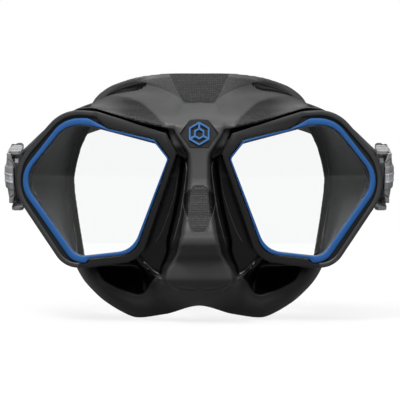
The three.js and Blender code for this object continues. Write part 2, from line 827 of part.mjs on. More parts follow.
// Base plate with two cheeks that carry the roller and the pawl
function baseGeometry() {
  const nose = 3;
  const plate = prismX([
    [BASE_FRONT, nose],
    [BASE_FRONT + 2, BUCKLE_HALF - 2],
    [BASE_FRONT + 4, BUCKLE_HALF],
    [BASE_REAR, BUCKLE_HALF],
    [BASE_REAR, -BUCKLE_HALF],
    [BASE_FRONT + 4, -BUCKLE_HALF],
    [BASE_FRONT + 2, -BUCKLE_HALF + 2],
    [BASE_FRONT, -nose],
  ], BASE_INNER, BASE_OUTER);
  let body = solid(plate);
  const cheek = [
    [BASE_INNER, BASE_FRONT + 4],
    [WALL_TOP - 1, BASE_FRONT + 4],
    [WALL_TOP, BASE_FRONT + 5],
    [WALL_TOP, CHEEK_REAR - 2.5],
    [WALL_TOP - 1.2, CHEEK_REAR],
    [BASE_INNER + 1.2, CHEEK_REAR],
    [BASE_INNER, CHEEK_REAR - 2.5],
  ];
  for (const side of [1, -1]) {
    const [low, high] = side > 0 ? [CHANNEL_HALF, BUCKLE_HALF] : [-BUCKLE_HALF, -CHANNEL_HALF];
    body = body.add(solid(prismZ(cheek, low, high)));
    const slot = box(
      [STEM_LOW_X - RUN, STEM_FRONT - RUN, low - 1],
      [STEM_HIGH_X + RUN, STEM_REAR + RUN, high + 1],
    );
    body = body.subtract(solid(slot));
  }
  const reach = BUCKLE_HALF + 3;
  body = body.subtract(solid(rod('z', AXLE_RADIUS + RUN, -reach, reach, [ROLLER_X, ROLLER_Y], 16)));
  body = body.subtract(solid(rod('z', PAWL_PIVOT_RADIUS + RUN, -reach, reach, [PAWL_X, PAWL_Y], 16)));
  body = body.subtract(solid(rod('x', PIN_RADIUS + RUN, BASE_INNER - OVERCUT, BASE_OUTER + OVERCUT, [0, 0])));
  const sinkFrom = BASE_OUTER - RIVET_DEPTH - GAP;
  const sink = rod('x', PIN_RADIUS + RIVET_FLARE + GAP, sinkFrom, BASE_OUTER + OVERCUT, [0, 0]);
  return surface(body.subtract(solid(sink)));
}

// Prism of a (y, z) outline between two places on X.
function prismX(points, low, high) {
  const shape = new THREE.Shape(points.map(([y, z]) => new THREE.Vector2(y, z)));
  const geometry = new THREE.ExtrudeGeometry(shape, { depth: high - low, bevelEnabled: false });
  return warp(geometry, (p) => p.set(low + p.z, p.x, p.y));
}

// Cover's outline seen from above, front to rear
function coverSide(shrink) {
  return [
    [COVER_INNER, BASE_FRONT + 1],
    [COVER_INNER + 0.8, BASE_FRONT + 0.6 + shrink],
    [COVER_OUTER - 0.8 - shrink, BASE_FRONT + 4 + shrink],
    [COVER_OUTER - shrink, BASE_FRONT + 7],
    [COVER_OUTER - shrink, COVER_REAR - 3],
    [COVER_OUTER - 1 - shrink, COVER_REAR],
    [COVER_INNER, COVER_REAR],
  ];
}

// Outer cover: thin at its ends, a raised middle for the inlay, cut corners
function coverGeometry() {
  const step = 5;
  const front = [
    [COVER_INNER, COVER_HALF - 0.6],
    [COVER_INNER, -COVER_HALF + 0.6],
    [COVER_INNER + 0.5, -COVER_HALF],
    [COVER_OUTER - 2.2, -COVER_HALF + 0.8],
    [COVER_OUTER - 0.9, -step - 0.6],
    [COVER_OUTER, -step + 1.6],
    [COVER_OUTER, step - 1.6],
    [COVER_OUTER - 0.9, step + 0.6],
    [COVER_OUTER - 2.2, COVER_HALF - 0.8],
    [COVER_INNER + 0.5, COVER_HALF],
  ];
  const plan = coverSide(0);
  let body = solid(prismY(front, BASE_FRONT - 2, COVER_REAR + 2));
  body = body.intersect(solid(prismZ(plan, -COVER_HALF - 2, COVER_HALF + 2)));
  const corner = 3;
  const face = [
    [BASE_FRONT - 1, 5.5],
    [BASE_FRONT + corner + 0.8, COVER_HALF + 1],
    [COVER_REAR + 1, COVER_HALF + 1],
    [COVER_REAR + 1, -COVER_HALF - 1],
    [BASE_FRONT + corner + 0.8, -COVER_HALF - 1],
    [BASE_FRONT - 1, -5.5],
  ];
  body = body.intersect(solid(prismX(face, COVER_INNER - 2, COVER_OUTER + 2)));
  const pocket = inlayBody(GAP);
  return surface(body.subtract(pocket));
}

// Inlay: a bent strip along the middle of the cover and round its front
function inlayBody(clearance) {
  const half = INLAY_HALF + clearance;
  const outer = coverSide(clearance > 0 ? -3 : 0).slice(1, 5);
  const inner = coverSide(INLAY_THICK + clearance).slice(1, 5);
  const strip = [...outer, ...inner.reverse()];
  const rear = COVER_REAR - 3.4 + clearance;
  const body = solid(prismZ(strip, -half, half));
  return body.intersect(solid(box([COVER_INNER + 0.9 - clearance, -40, -20], [COVER_OUTER + 9, rear, 20])));
}

function inlayGeometry() {
  return surface(inlayBody(0));
}

// Roller that the strap turns round
function rollerGeometry() {
  const half = CHANNEL_HALF - RUN;
  const end = BUCKLE_HALF - 0.2;
  const profile = [
    [0, -end],
    [AXLE_RADIUS, -end],
    [AXLE_RADIUS, -half],
    [ROLLER_RADIUS, -half],
    [ROLLER_RADIUS, half],
    [AXLE_RADIUS, half],
    [AXLE_RADIUS, end],
    [0, end],
  ];
  const lathe = new THREE.LatheGeometry(profile.map(([r, h]) => new THREE.Vector2(r, h)), 16);
  return closed(lathe.rotateX(Math.PI / 2).translate(ROLLER_X, ROLLER_Y, 0));
}

// Pawl: a toothed plate on two trunnions, with an arm between the buttons' stems
function pawlGeometry() {
  const tooth = ROLLER_Y - WRAP_RADIUS - STRAP_THICK / 2 - GAP;
  const half = CHANNEL_HALF - GAP;
  const plate = prismZ([
    [PAWL_X - 0.7, PAWL_Y - 1.2],
    [PAWL_X + 0.8, PAWL_Y - 1.2],
    [PAWL_X + 0.9, PAWL_Y + 1],
    [PAWL_X + 0.5, tooth - 0.3],
    [PAWL_X, tooth],
    [PAWL_X - 0.6, tooth - 1],
    [PAWL_X - 0.8, PAWL_Y + 1],
  ], -half, half);
  const armHalf = STEM_END - BUTTON_TRAVEL - GAP;
  const arm = box([PAWL_X, STEM_FRONT, -armHalf], [PAWL_X + 0.8, PAWL_Y, armHalf]);
  const trunnion = rod('z', PAWL_PIVOT_RADIUS, -BUCKLE_HALF + GAP, BUCKLE_HALF - GAP, [PAWL_X, PAWL_Y], 16);
  return surface(solid(plate).add(solid(arm)).add(solid(trunnion)));
}

// Leaf spring under the pawl's arm
function springGeometry() {
  const low = BASE_OUTER + RUN;
  const leaf = [
    [low, STEM_FRONT - 1.2],
    [low + 0.25, STEM_FRONT - 1.2],
    [low + 0.35, STEM_REAR],
    [low + 0.25, PAWL_Y - 1.6],
    [low, PAWL_Y - 1.6],
    [low + 0.1, STEM_REAR],
  ];
  return closed(prismZ(leaf, -2.4, 2.4));
}

// Button: a ribbed head over the cheek and a stem through it, up or down
function buttonGeometry(up) {
  const low = BUTTON_UNDER;
  const high = low + BUTTON_HEIGHT;
  const headInner = BASE_INNER - 1.4;
  const headOuter = COVER_INNER - 0.5;
  const head = [
    [headInner, BUTTON_FRONT + 1.2],
    [headInner + 1.2, BUTTON_FRONT],
    [headOuter - 1.2, BUTTON_FRONT],
    [headOuter, BUTTON_FRONT + 1.2],
    [headOuter, BUTTON_REAR - 1.2],
    [headOuter - 1.2, BUTTON_REAR],
    [headInner + 1.2, BUTTON_REAR],
    [headInner, BUTTON_REAR - 1.2],
  ];
  let body = solid(prismZ(head, low, high));
  const ribs = 3;
  const pitch = (BUTTON_REAR - BUTTON_FRONT) / (ribs + 1);
  for (let k = 1; k <= ribs; k += 1) {
    const y = BUTTON_FRONT + k * pitch;
    const groove = box([headInner - 1, y - 0.35, high - 0.6], [headOuter + 1, y + 0.35, high + 1]);
    body = body.subtract(solid(groove));
  }
  body = body.add(solid(box([STEM_LOW_X, STEM_FRONT, STEM_END], [STEM_HIGH_X, STEM_REAR, low + 0.5])));
  const geometry = surface(body);
  return up ? geometry : closed(geometry.rotateX(Math.PI).translate(0, STEM_FRONT + STEM_REAR, 0));
}

// Strap: one band from tail to tail, round both rollers and behind the head

const STRAP_SIDE = ROLLER_X - WRAP_RADIUS;
const STRAP_TAIL = ROLLER_X + WRAP_RADIUS;

const STRAP_REAR = ROLLER_Y + STRAP_REACH;

// Middle line of the right half, from the tail's end to the back of the head
function strapPath() {
  const points = [[STRAP_TAIL, ROLLER_Y + STRAP_TAIL_LENGTH]];
  const turnSteps = 12;
  for (let k = 0; k <= turnSteps; k += 1) {
    const angle = -Math.PI * k / turnSteps;
    points.push([ROLLER_X + WRAP_RADIUS * Math.cos(angle), ROLLER_Y + WRAP_RADIUS * Math.sin(angle)]);
  }
  const loop = new THREE.CubicBezierCurve(
    new THREE.Vector2(STRAP_SIDE, ROLLER_Y),
    new THREE.Vector2(STRAP_SIDE - STRAP_DRAW_IN, ROLLER_Y + STRAP_REACH * 0.27),
    new THREE.Vector2(STRAP_SIDE - STRAP_DRAW_IN, STRAP_REAR),
    new THREE.Vector2(0, STRAP_REAR),
  );
  const loopSteps = 24;
  for (let k = 1; k < loopSteps; k += 1) {
    points.push(loop.getPoint(k / loopSteps).toArray());
  }
  return points;
}

// Half the band's width at a place along the path
function strapHalf(x, y) {
  const padReach = 34;
  const share = y < STRAP_REAR - 30 ? 0 : 1 - smoothstep((Math.abs(x) - padReach * 0.6) / (padReach * 0.6));
  return (STRAP_WIDTH + (STRAP_PAD_WIDTH - STRAP_WIDTH) * share) / 2;
}

function strapGeometry() {
  const right = strapPath();
  const rear = [0, STRAP_REAR];
  const left = right.map(([x, y]) => [-x, y]).reverse();
  const path = [...right, rear, ...left];
  const rings = path.map(([x, y], i) => {
    const before = path[Math.max(i - 1, 0)];
    const after = path[Math.min(i + 1, path.length - 1)];
    const dx = after[0] - before[0];
    const dy = after[1] - before[1];
    const length = Math.hypot(dx, dy);
    const nx = dy / length * STRAP_THICK / 2;
    const ny = -dx / length * STRAP_THICK / 2;
    const half = strapHalf(x, y);
    return [
      new THREE.Vector3(x + nx, y + ny, -half),
      new THREE.Vector3(x + nx, y + ny, half),
      new THREE.Vector3(x - nx, y - ny, half),
      new THREE.Vector3(x - nx, y - ny, -half),
    ];
  });
  const band = solid(skin(rings, false));
  const slotHalf = STRAP_SLOT_LENGTH / 2;
  const tall = STRAP_SLOT_HEIGHT / 2;
  const slot = [
    [slotHalf, 0],
    [slotHalf - tall * 0.3, tall * 0.7],
    [slotHalf - tall, tall],
    [-slotHalf + tall, tall],
    [-slotHalf + tall * 0.3, tall * 0.7],
    [-slotHalf, 0],
    [-slotHalf + tall * 0.3, -tall * 0.7],
    [-slotHalf + tall, -tall],
    [slotHalf - tall, -tall],
    [slotHalf - tall * 0.3, -tall * 0.7],
  ];
  return surface(band.subtract(solid(prismY(slot, STRAP_REAR - 40, STRAP_REAR + 20))));
}

// Assembly

place(mask, 'skirt', skirtGeometry(), BLACK_SILICONE);
place(mask, 'frame', frameGeometry(), BLACK_PLASTIC);
place(mask, 'badge_plate', badgePlateGeometry(), BLACK_PLASTIC);
place(mask, 'badge_emblem', emblemGeometry(), BLUE_PLASTIC);

const harness = new THREE.Group();
harness.position.set(0, PIVOT_Y, PIVOT_Z);
harness.rotation.x = THREE.MathUtils.degToRad(HARNESS_TILT);
mask.add(harness);
place(harness, 'strap', strapGeometry(), BLACK_SILICONE);

for (const [side, turn] of [['right', (g) => closed(g)], ['left', mirrored]]) {
  place(mask, `bezel_${side}`, turn(bezelGeometry()), BLUE_PLASTIC);
  place(mask, `lens_${side}`, turn(lensGeometry()), GLASS);
  place(harness, `swivel_pin_${side}`, turn(pinGeometry()), STEEL);
  place(harness, `buckle_base_${side}`, turn(baseGeometry()), DARK_PLASTIC);
  place(harness, `buckle_cover_${side}`, turn(coverGeometry()), GREY_PLASTIC);
  place(harness, `cover_inlay_${side}`, turn(inlayGeometry()), BRIGHT_PLATE);
  place(harness, `strap_roller_${side}`, turn(rollerGeometry()), STEEL);
  place(harness, `pawl_${side}`, turn(pawlGeometry()), DARK_PLASTIC);
  place(harness, `pawl_spring_${side}`, turn(springGeometry()), STEEL);
  place(harness, `button_top_${side}`, turn(buttonGeometry(true)), GREY_PLASTIC);
  place(harness, `button_bottom_${side}`, turn(buttonGeometry(false)), GREY_PLASTIC);
}

export default mask;
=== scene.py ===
"""Looks of the two-lens diving mask. Geometry is worked out in millimetres and placed in metres."""
import math

import bmesh
import bpy
import numpy as np
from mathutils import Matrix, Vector
from mathutils.bvhtree import BVHTree


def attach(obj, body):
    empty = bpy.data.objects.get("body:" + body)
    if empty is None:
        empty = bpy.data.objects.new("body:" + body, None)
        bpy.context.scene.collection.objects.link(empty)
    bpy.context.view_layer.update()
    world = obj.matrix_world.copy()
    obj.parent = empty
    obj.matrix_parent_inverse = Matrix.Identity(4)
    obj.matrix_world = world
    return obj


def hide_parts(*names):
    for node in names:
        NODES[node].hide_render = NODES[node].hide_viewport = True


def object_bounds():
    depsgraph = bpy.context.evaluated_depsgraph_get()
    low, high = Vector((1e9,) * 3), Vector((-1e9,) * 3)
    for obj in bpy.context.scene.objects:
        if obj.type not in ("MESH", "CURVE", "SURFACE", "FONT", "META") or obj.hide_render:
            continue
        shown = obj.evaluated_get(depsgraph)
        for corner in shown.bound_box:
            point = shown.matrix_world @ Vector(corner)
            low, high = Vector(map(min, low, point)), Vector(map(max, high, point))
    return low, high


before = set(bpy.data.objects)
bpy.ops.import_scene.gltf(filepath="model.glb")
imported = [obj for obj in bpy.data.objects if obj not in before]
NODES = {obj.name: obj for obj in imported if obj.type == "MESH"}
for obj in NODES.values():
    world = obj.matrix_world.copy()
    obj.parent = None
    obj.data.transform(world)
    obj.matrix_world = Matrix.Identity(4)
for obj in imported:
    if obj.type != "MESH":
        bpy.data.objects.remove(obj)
cad_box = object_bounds()
MM = 0.001

# Values shared with the solids, in millimetres

TEMPLE_X = 80.8
LENS_SETBACK, LENS_SWEEP, LENS_TILT = 40.0, 0.1, 0.08
LENS_THICK, LENS_TUCK = 3.0, 1.6
FRAME_PROUD, FRAME_DEPTH, STRIP_WIDTH, GROOVE_DEPTH = 2.2, 9.2, 2.3, 1.5
BRIDGE_LOW, BRIDGE_HIGH, BRIDGE_FRONT, BRIDGE_THICK = 16.0, 23.0, 0.6, 5.0
BEZEL_PROUD = 2.7
WALL, LIP, FLANGE_WIDTH, RIM_ROLL, RIM_INSET = 2.0, 1.0, 5.5, 5.0, 1.8
TOE, TOP_TOE, NOSE_WALL = 2.3, 4.0, 2.0
GAP, RUN = 0.3, 0.2
BASE_DEPTH = FRAME_DEPTH - FRAME_PROUD + GAP
PIVOT_Y, PIVOT_Z, HARNESS_TILT = -13.0, 6.6, 21.0
EAR_THICK, EAR_RADIUS, EAR_LAP = 2.6, 4.8, 2.0
PIN_RADIUS = 2.0
ROLLER_Y, ROLLER_RADIUS = 13.6, 1.5
STRAP_WIDTH, STRAP_THICK, STRAP_TAIL_LENGTH = 16.0, 2.0, 10.5
STRAP_REACH, STRAP_DRAW_IN, STRAP_PAD_WIDTH = 103.0, 9.0, 28.0
STRAP_PAD_REACH, STRAP_PAD_DEPTH = 34.0, 30.0
STRAP_SLOT_LENGTH, STRAP_SLOT_HEIGHT = 46.0, 9.0
BADGE_CENTRE_Z, BADGE_HALF_WIDTH, BADGE_HALF_HEIGHT = 25.1, 8.4, 6.2
BADGE_FLAT, BADGE_DEPTH = 3.9, 1.6

WINDOW = [(19.9, 21.2, 2), (14.2, 14.2, 2), (30.2, -27.4, 12), (55.9, -30.4, 7), (TEMPLE_X, 4.9, 12),
          (60.2, 29.9, 13), (50, 29.2, 10)]
BEZEL = [(20, 22.4, 3), (13.5, 14, 2.5), (29.3, -28.7, 10), (49.6, -31, 1), (51.6, -33, 1),
         (57.5, -33.1, 9), (TEMPLE_X + 2.8, 4.45, 14), (61.1, 32.4, 15), (50, 32.3, 5), (41, 27.5, 4)]
RING = [(14.6, 25.4, 2), (10.4, 15.3, 3), (26.6, -32, 12), (49.1, -35.1, 10), (61.3, -35.6, 12),
        (TEMPLE_X + 8.3, 6.1, 22), (61.6, 36.7, 18), (46, 35.4, 12)]
PLATE = [(15.3, 25, 2), (11.3, 15.4, 3), (27.2, -30.6, 9), (57.2, -33, 9), (TEMPLE_X + 3, 5, 14),
         (62, 35.4, 15), (46, 34.8, 10)]
WEB = [(0, 7, 1), (24, 7, 1), (24, 24.4, 1), (0, 24.4, 1)]

# Where the band hooks round the nose and brow, and how the flange and the band's root lie
HOOK_RUN, FLANGE_BACK, ROOT_SHARE, ROOT_OUT, ROOT_AHEAD, ROOT_RUN = 8, 1, 0.75, 0.5, 2, 6
# Skirt stations on the right side: front edge, rim, and the two middle points of the profile
STATIONS = [
    ((0, -46, 28), (0, -14, 56), (0.3, 0.02, 0.5, 0.62)),
    ((12, -45.5, 27.2), (15.2, -13.6, 55.8), (0.3, 0.02, 0.45, 0.66)),
    ((28, -43.4, 30.6), (30.8, -11, 53.6), (0.4, 0, 0.3, 0.95)),
    ((43, -40.2, 35.4), (43.6, -7.6, 49.5), (0.35, 0.02, 0.25, 0.95)),
    ((49.8, -35.6, 37.2), (51.4, -3.6, 44), (0.25, 0.1, 0.25, 0.9)),
    ((58, 0, 36.4), (57.4, 1.6, 35), (0.2, 0.2, 0.4, 0.8)),
    ((70.1, 0, 22.6), (64, 8, 23), (0.3, 0.3, 0.7, 0.7)),
    ((80.53, 0, 5.4), (68, 12, 6), (0.3, 0.3, 0.7, 0.7)),
    ((71.7, 0, -13.2), (66, 11, -12), (0.3, 0.3, 0.7, 0.7)),
    ((62.5, 0, -26.3), (63, 7, -28.5), (0.1, 0.3, 0.3, 0.8)),
    ((56.6, 0, -32), (61.2, 5.2, -37.2), (0.05, 0.6, 0.3, 0.6)),
    ((48.7, 0, -32.8), (55.8, 2, -45.6), (0.05, 1.4, 0.45, 0.1)),
    ((37.7, 0, -31.5), (45.6, -1, -54.8), (0.1, 2, 0.5, -0.3)),
    ((28, 0, -31.4), (31, -4, -61.9), (0.1, 2, 0.5, -0.3)),
    ((19.2, -31, -39.4), (15.4, -9, -59.6), (0.3, 0.1, 0.6, 0.6)),
    ((0, -37.6, -45), (0, -12, -56), (0.3, 0.2, 0.7, 0.6)),
]

# Nose and bridge down the middle: height, crest depth, half-width of the crest, run of the side.
# The rows from -28 down are the scene's own, with more hollow under the nose than in the solids
NOSE = [
    (31, -44, 11, 1.6), (28.5, -46, 11, 1.6), (25, -46.4, 10, 2), (21, -46.5, 7.2, 3),
    (15.3, -46.6, 3.6, 4.5), (5, -47.2, 3.2, 6), (0, -48.4, 3.8, 6), (-10, -51.2, 4.8, 7),
    (-20, -54, 6.2, 8), (-24, -54, 7.2, 8), (-28, -49.6, 8.2, 7), (-32, -44.6, 10.4, 6),
    (-36, -43.6, 13.2, 4.8), (-40, -42.8, 14.4, 3.8), (-43, -40, 13, 3.2), (-46, -35.5, 9, 3),
]
# The nose panel's outer edge: height, distance from the middle
PANEL = [
    (31, 12.2), (25, 10.4), (21, 8.6), (17, 9.4), (8, 18), (0, 23), (-15, 26), (-27, 29.4),
    (-31, 29), (-34, 27.2), (-38, 22.6), (-40, 20), (-42, 16), (-44, 10.6), (-46, 6),
]
# The camera's place, and the top edge of the skirt as seen from there
EYE = (0.36, -640.0, -4.5)
TOP_EDGE = [(0, 52.7), (12, 52.4), (23.5, 51.3), (34.6, 48.6), (40.6, 45.9), (44, 43.2), (47, 40.5)]
BADGE_FRONT = NOSE[1][1]
BADGE_FLOOR = BADGE_FRONT + BADGE_DEPTH


# Curves and outlines

def spline(a, b, c, d, t):
    mb, mc = (c - a) * 0.42, (d - b) * 0.42
    return ((2 * t**3 - 3 * t**2 + 1) * b + (t**3 - 2 * t**2 + t) * mb
            + (3 * t**2 - 2 * t**3) * c + (t**3 - t**2) * mc)


def bezier(points, t):
    """A point of a Bezier curve of any degree."""
    p = [np.asarray(q, float) for q in points]
    while len(p) > 1:
        p = [a * (1 - t) + b * t for a, b in zip(p, p[1:])]
    return p[0]


def smooth(t):
    u = np.clip(t, 0.0, 1.0)
    return u * u * (3 - 2 * u)


def ramp(value, start, run):
    """0 at the start and 1 a run further on. A negative run puts the 1 below the start."""
    return smooth((value - start) / run)


def look_up(table, key, column):
    if key >= table[0][0]:
        return table[0][column]
    for i in range(1, len(table)):
        if key >= table[i][0]:
            share = (table[i - 1][0] - key) / (table[i - 1][0] - table[i][0])
            return spline(table[max(i - 2, 0)][column], table[i - 1][column], table[i][column],
                          table[min(i + 1, len(table) - 1)][column], share)
    return table[-1][column]


def lens_plane(x, z):
    return -LENS_SETBACK + LENS_SWEEP * np.abs(x) - LENS_TILT * z


def outline(corners, offset=0.0, step=6.0):
    """Points of a rounded outline, grown outwards by an offset."""
    c = np.array(corners, float)
    n = len(c)
    d = np.roll(c[:, :2], -1, 0) - c[:, :2]
    length = np.hypot(d[:, 0], d[:, 1])
    normal = np.stack([d[:, 1] / length, -d[:, 0] / length], 1)
    points = []
    for i in range(n):
        x, z, radius = c[i]
        before, after = normal[i - 1], normal[i]
        cross = np.clip(before[0] * after[1] - before[1] * after[0], -1, 1)
        cosine = 1 + before @ after
        corner = np.array([x, z]) + offset * (before + after) / cosine
        side = 1 if cross > 0 else -1
        bend = max(radius + side * offset, 0.2)
        centre = corner - side * bend * (before + after) / cosine
        sweep = math.acos(np.clip(cosine - 1, -1, 1))
        steps = max(1, round(math.degrees(sweep) / step))
        start = math.atan2(side * before[1], side * before[0])
        for k in range(steps + 1):
            angle = start + side * sweep * k / steps
            points.append((centre[0] + bend * math.cos(angle), centre[1] + bend * math.sin(angle)))
    return np.array(points)


def reach_at(points, z):
    best = 0.0
    for a, b in zip(points, np.roll(points, -1, 0)):
        if (a[1] - z) * (b[1] - z) <= 0 and a[1] != b[1]:
            best = max(best, a[0] + (b[0] - a[0]) * (z - a[1]) / (b[1] - a[1]))
    return best


EAR_INNER = reach_at(outline(RING), PIVOT_Z) - EAR_LAP
BASE_INNER = EAR_INNER + EAR_THICK + GAP
WRAP_RADIUS = ROLLER_RADIUS + GAP + STRAP_THICK / 2
ROLLER_X = BASE_INNER - 0.5 + STRAP_THICK / 2 + WRAP_RADIUS


# Mesh helpers

def linked(name, data):
    obj = bpy.data.objects.new(name, data)
    bpy.context.scene.collection.objects.link(obj)
    return obj


def new_object(name, vertices, faces):
    mesh = bpy.data.meshes.new(name)
    points = [tuple(v) for v in np.asarray(vertices, float) * MM]
    mesh.from_pydata(points, [], [tuple(int(i) for i in f) for f in faces])
    mesh.update()
    return linked(name, mesh)


def read_vertices(mesh, name):
    values = np.empty(len(mesh.vertices) * 3)
    mesh.vertices.foreach_get(name, values)
    return values.reshape(-1, 3)


def points_of(obj):
    return read_vertices(obj.data, "co") / MM


def placed(obj, points, side):
    """Gives a piece new points, which are mirrored on the left."""
    points = points * (-1 if side == "left" else 1, 1, 1)
    obj.data.vertices.foreach_set("co", (points * MM).ravel())


def outward(obj):
    bm = bmesh.new()
    bm.from_mesh(obj.data)
    bmesh.ops.remove_doubles(bm, verts=bm.verts, dist=1e-6)
    bmesh.ops.recalc_face_normals(bm, faces=bm.faces)
    bm.to_mesh(obj.data)
    bm.free()
    return obj


def mirror_x(vertices, faces):
    v = np.array(vertices, float)
    v[:, 0] *= -1
    return v, [tuple(reversed(f)) for f in faces]


def both(part):
    return [part, mirror_x(*part)]


def on_side(part, side):
    """Parts are made for the right and mirrored to the left."""
    return mirror_x(*part) if side == "left" else part


def merge(parts):
    """Joins (vertices, faces) pairs into one."""
    vertices, faces, base = [], [], 0
    for v, f in parts:
        vertices.append(np.asarray(v, float))
        faces += [tuple(i + base for i in face) for face in f]
        base += len(v)
    return np.concatenate(vertices), faces


def skin(rings, endless=False):
    """Faces through rings of equal length, capped at the two ends unless endless."""
    around = len(rings[0])
    vertices = np.concatenate([np.asarray(r, float) for r in rings])
    faces = []
    spans = len(rings) if endless else len(rings) - 1
    for i in range(spans):
        here, there = i * around, (i + 1) % len(rings) * around
        for k in range(around):
            right = (k + 1) % around
            faces.append((here + k, there + k, there + right, here + right))
    if not endless:
        faces.append(tuple(range(around)))
        faces.append(tuple(reversed(range((len(rings) - 1) * around, len(rings) * around))))
    return vertices, faces


def box_mesh(low, high):
    (x0, y0, z0), (x1, y1, z1) = low, high
    v = [(x, y, z) for x in (x0, x1) for y in (y0, y1) for z in (z0, z1)]
    f = [(0, 1, 3, 2), (4, 6, 7, 5), (0, 4, 5, 1), (2, 3, 7, 6), (0, 2, 6, 4), (1, 5, 7, 3)]
    return np.array(v, float), f


def on_lens(points, depth):
    return np.stack([points[:, 0], lens_plane(points[:, 0], points[:, 1]) + depth, points[:, 1]], 1)


def ring_slab(outer, inner, outer_profile, inner_profile):
    """A flat ring between two outlines. The profiles are (offset, depth) pairs from front to back."""
    vertices, faces, loops = [], [], []
    for corners, profile in ((outer, outer_profile), (inner, inner_profile)):
        rows = []
        for offset, depth in profile:
            rows.append(range(len(vertices), len(vertices) + len(outline(corners))))
            vertices += list(on_lens(outline(corners, offset), depth))
        for a, b in zip(rows, rows[1:]):
            n = len(a)
            faces += [(a[k], a[(k + 1) % n], b[(k + 1) % n], b[k]) for k in range(n)]
        loops.append(rows)
    bm = bmesh.new()
    verts = [bm.verts.new(v) for v in vertices]
    for f in faces:
        bm.faces.new([verts[i] for i in f])
    for end in (0, -1):
        edges = []
        for rows in loops:
            row = rows[end]
            for k in range(len(row)):
                edges.append(bm.edges.get((verts[row[k]], verts[row[(k + 1) % len(row)]])))
        bmesh.ops.triangle_fill(bm, edges=edges, use_beauty=True, normal=(0, -1, 0))
    bm.verts.index_update()
    result = np.array([v.co[:] for v in bm.verts]), [tuple(v.index for v in f.verts) for f in bm.faces]
    bm.free()
    return result


def slab_mesh(corners, front, back, offset=0.0):
    points = outline(corners, offset)
    return skin([on_lens(points, front), on_lens(points, back)])


def prism_y(points, low, high):
    p = np.array(points, float)
    rings = [np.stack([p[:, 0], np.full(len(p), y), p[:, 1]], 1) for y in (low, high)]
    return skin(rings)


def rod_x(radius, low, high, y, z, sides=48):
    angle = np.linspace(0, 2 * math.pi, sides, endpoint=False)
    rim = [y + radius * np.cos(angle), z + radius * np.sin(angle)]
    return skin([np.stack([np.full(sides, x), *rim], 1) for x in (low, high)])


def combine(obj, tools, operation="DIFFERENCE"):
    """Takes closed meshes out of a piece, one after another, or unites or intersects it with them."""
    for tool in tools:
        other = outward(new_object("tool", *tool))
        modifier = obj.modifiers.new("combine", "BOOLEAN")
        modifier.operation = operation
        modifier.solver = "EXACT"
        modifier.object = other
        apply_modifiers(obj)
        bpy.data.objects.remove(other)


def apply_modifiers(obj):
    graph = bpy.context.evaluated_depsgraph_get()
    graph.update()
    mesh = bpy.data.meshes.new_from_object(obj.evaluated_get(graph))
    obj.modifiers.clear()
    old = obj.data
    obj.data = mesh
    bpy.data.meshes.remove(old)


def lofted(corners, profile):
    """A solid whose outline grows and shrinks with depth. The profile is (offset, depth) pairs."""
    return skin([on_lens(outline(corners, offset), depth) for offset, depth in profile])


# Materials

MOTTLE_SCALE, MOTTLE_DETAIL, MOTTLE_STOPS, MOTTLE_SPREAD = 90.0, 4.0, (0.3, 0.7), 0.12
ROUGH_SCALE, ROUGH_DETAIL, ROUGH_SPREAD = 400.0, 3.0, 0.12
GRAIN_SCALE, GRAIN_DETAIL, GRAIN_HEIGHT, GRAIN_MIDDLE = 2500.0, 2.0, 0.06 * MM, 0.5
# Pointy edges are painted lighter, as a painted highlight
EDGE_HIGHLIGHT = {"From Min": 0.52, "From Max": 0.62, "To Max": 0.7}
DOT_JITTER, DOT_STRENGTH, DOT_HEIGHT = 0.4, 0.9, 0.12 * MM
# The gaps between the raised dots are darkened as painted shade
DOT_GAP, GAP_PAINTED_SHADE = {"From Min": 0.15, "From Max": 0.42}, 0.03
DOT_DOME = {"From Max": 0.55, "To Min": 1.0, "To Max": 0.0}
BEVEL_SAMPLES = 6
GLASS_TINT, GLASS_ROUGHNESS, GLASS_IOR = (0.97, 0.985, 0.98, 1), 0.02, 1.45
FILM_SCALE, FILM_DETAIL, FILM_ROUGHNESS = 60.0, 2.0, 0.03


def feed(tree, node, inputs):
    """Gives inputs, by name or place, an output to follow or a plain value."""
    for key, value in inputs.items():
        if isinstance(value, bpy.types.NodeSocket):
            tree.links.new(value, node.inputs[key])
        else:
            node.inputs[key].default_value = value


def made(tree, kind, output, inputs=None, **settings):
    """An output of a new node."""
    node = tree.nodes.new("ShaderNode" + kind)
    for name, value in settings.items():
        setattr(node, name, value)
    feed(tree, node, inputs or {})
    return node.outputs[output]


def calculated(tree, operation, first, second):
    return made(tree, "Math", "Value", {0: first, 1: second}, operation=operation)


def ranged(tree, value, limits):
    return made(tree, "MapRange", "Result", {"Value": value, **limits})


def noise(tree, place, scale, detail):
    return made(tree, "TexNoise", "Fac", {"Vector": place, "Scale": scale, "Detail": detail})


def attribute(tree, name):
    """A float attribute of the mesh."""
    return made(tree, "Attribute", "Fac", attribute_name=name)


def blended(tree, kind, factor, plain, other):
    """Goes from one value to another by a factor."""
    return made(tree, "Mix", "Result", {"Factor": factor, "A": plain, "B": other}, data_type=kind)


def surface(tree, factor, first, second):
    """Mixes two shaders and makes them the surface."""
    mixed = made(tree, "MixShader", "Shader", {"Fac": factor, 1: first, 2: second})
    output = next(node for node in tree.nodes if "Surface" in node.inputs)
    feed(tree, output, {"Surface": mixed})


def new_material(name):
    mat = bpy.data.materials.new(name)
    mat.use_nodes = True
    tree = mat.node_tree
    place = made(tree, "TexCoord", "Object")
    return mat, tree, tree.nodes["Principled BSDF"], place


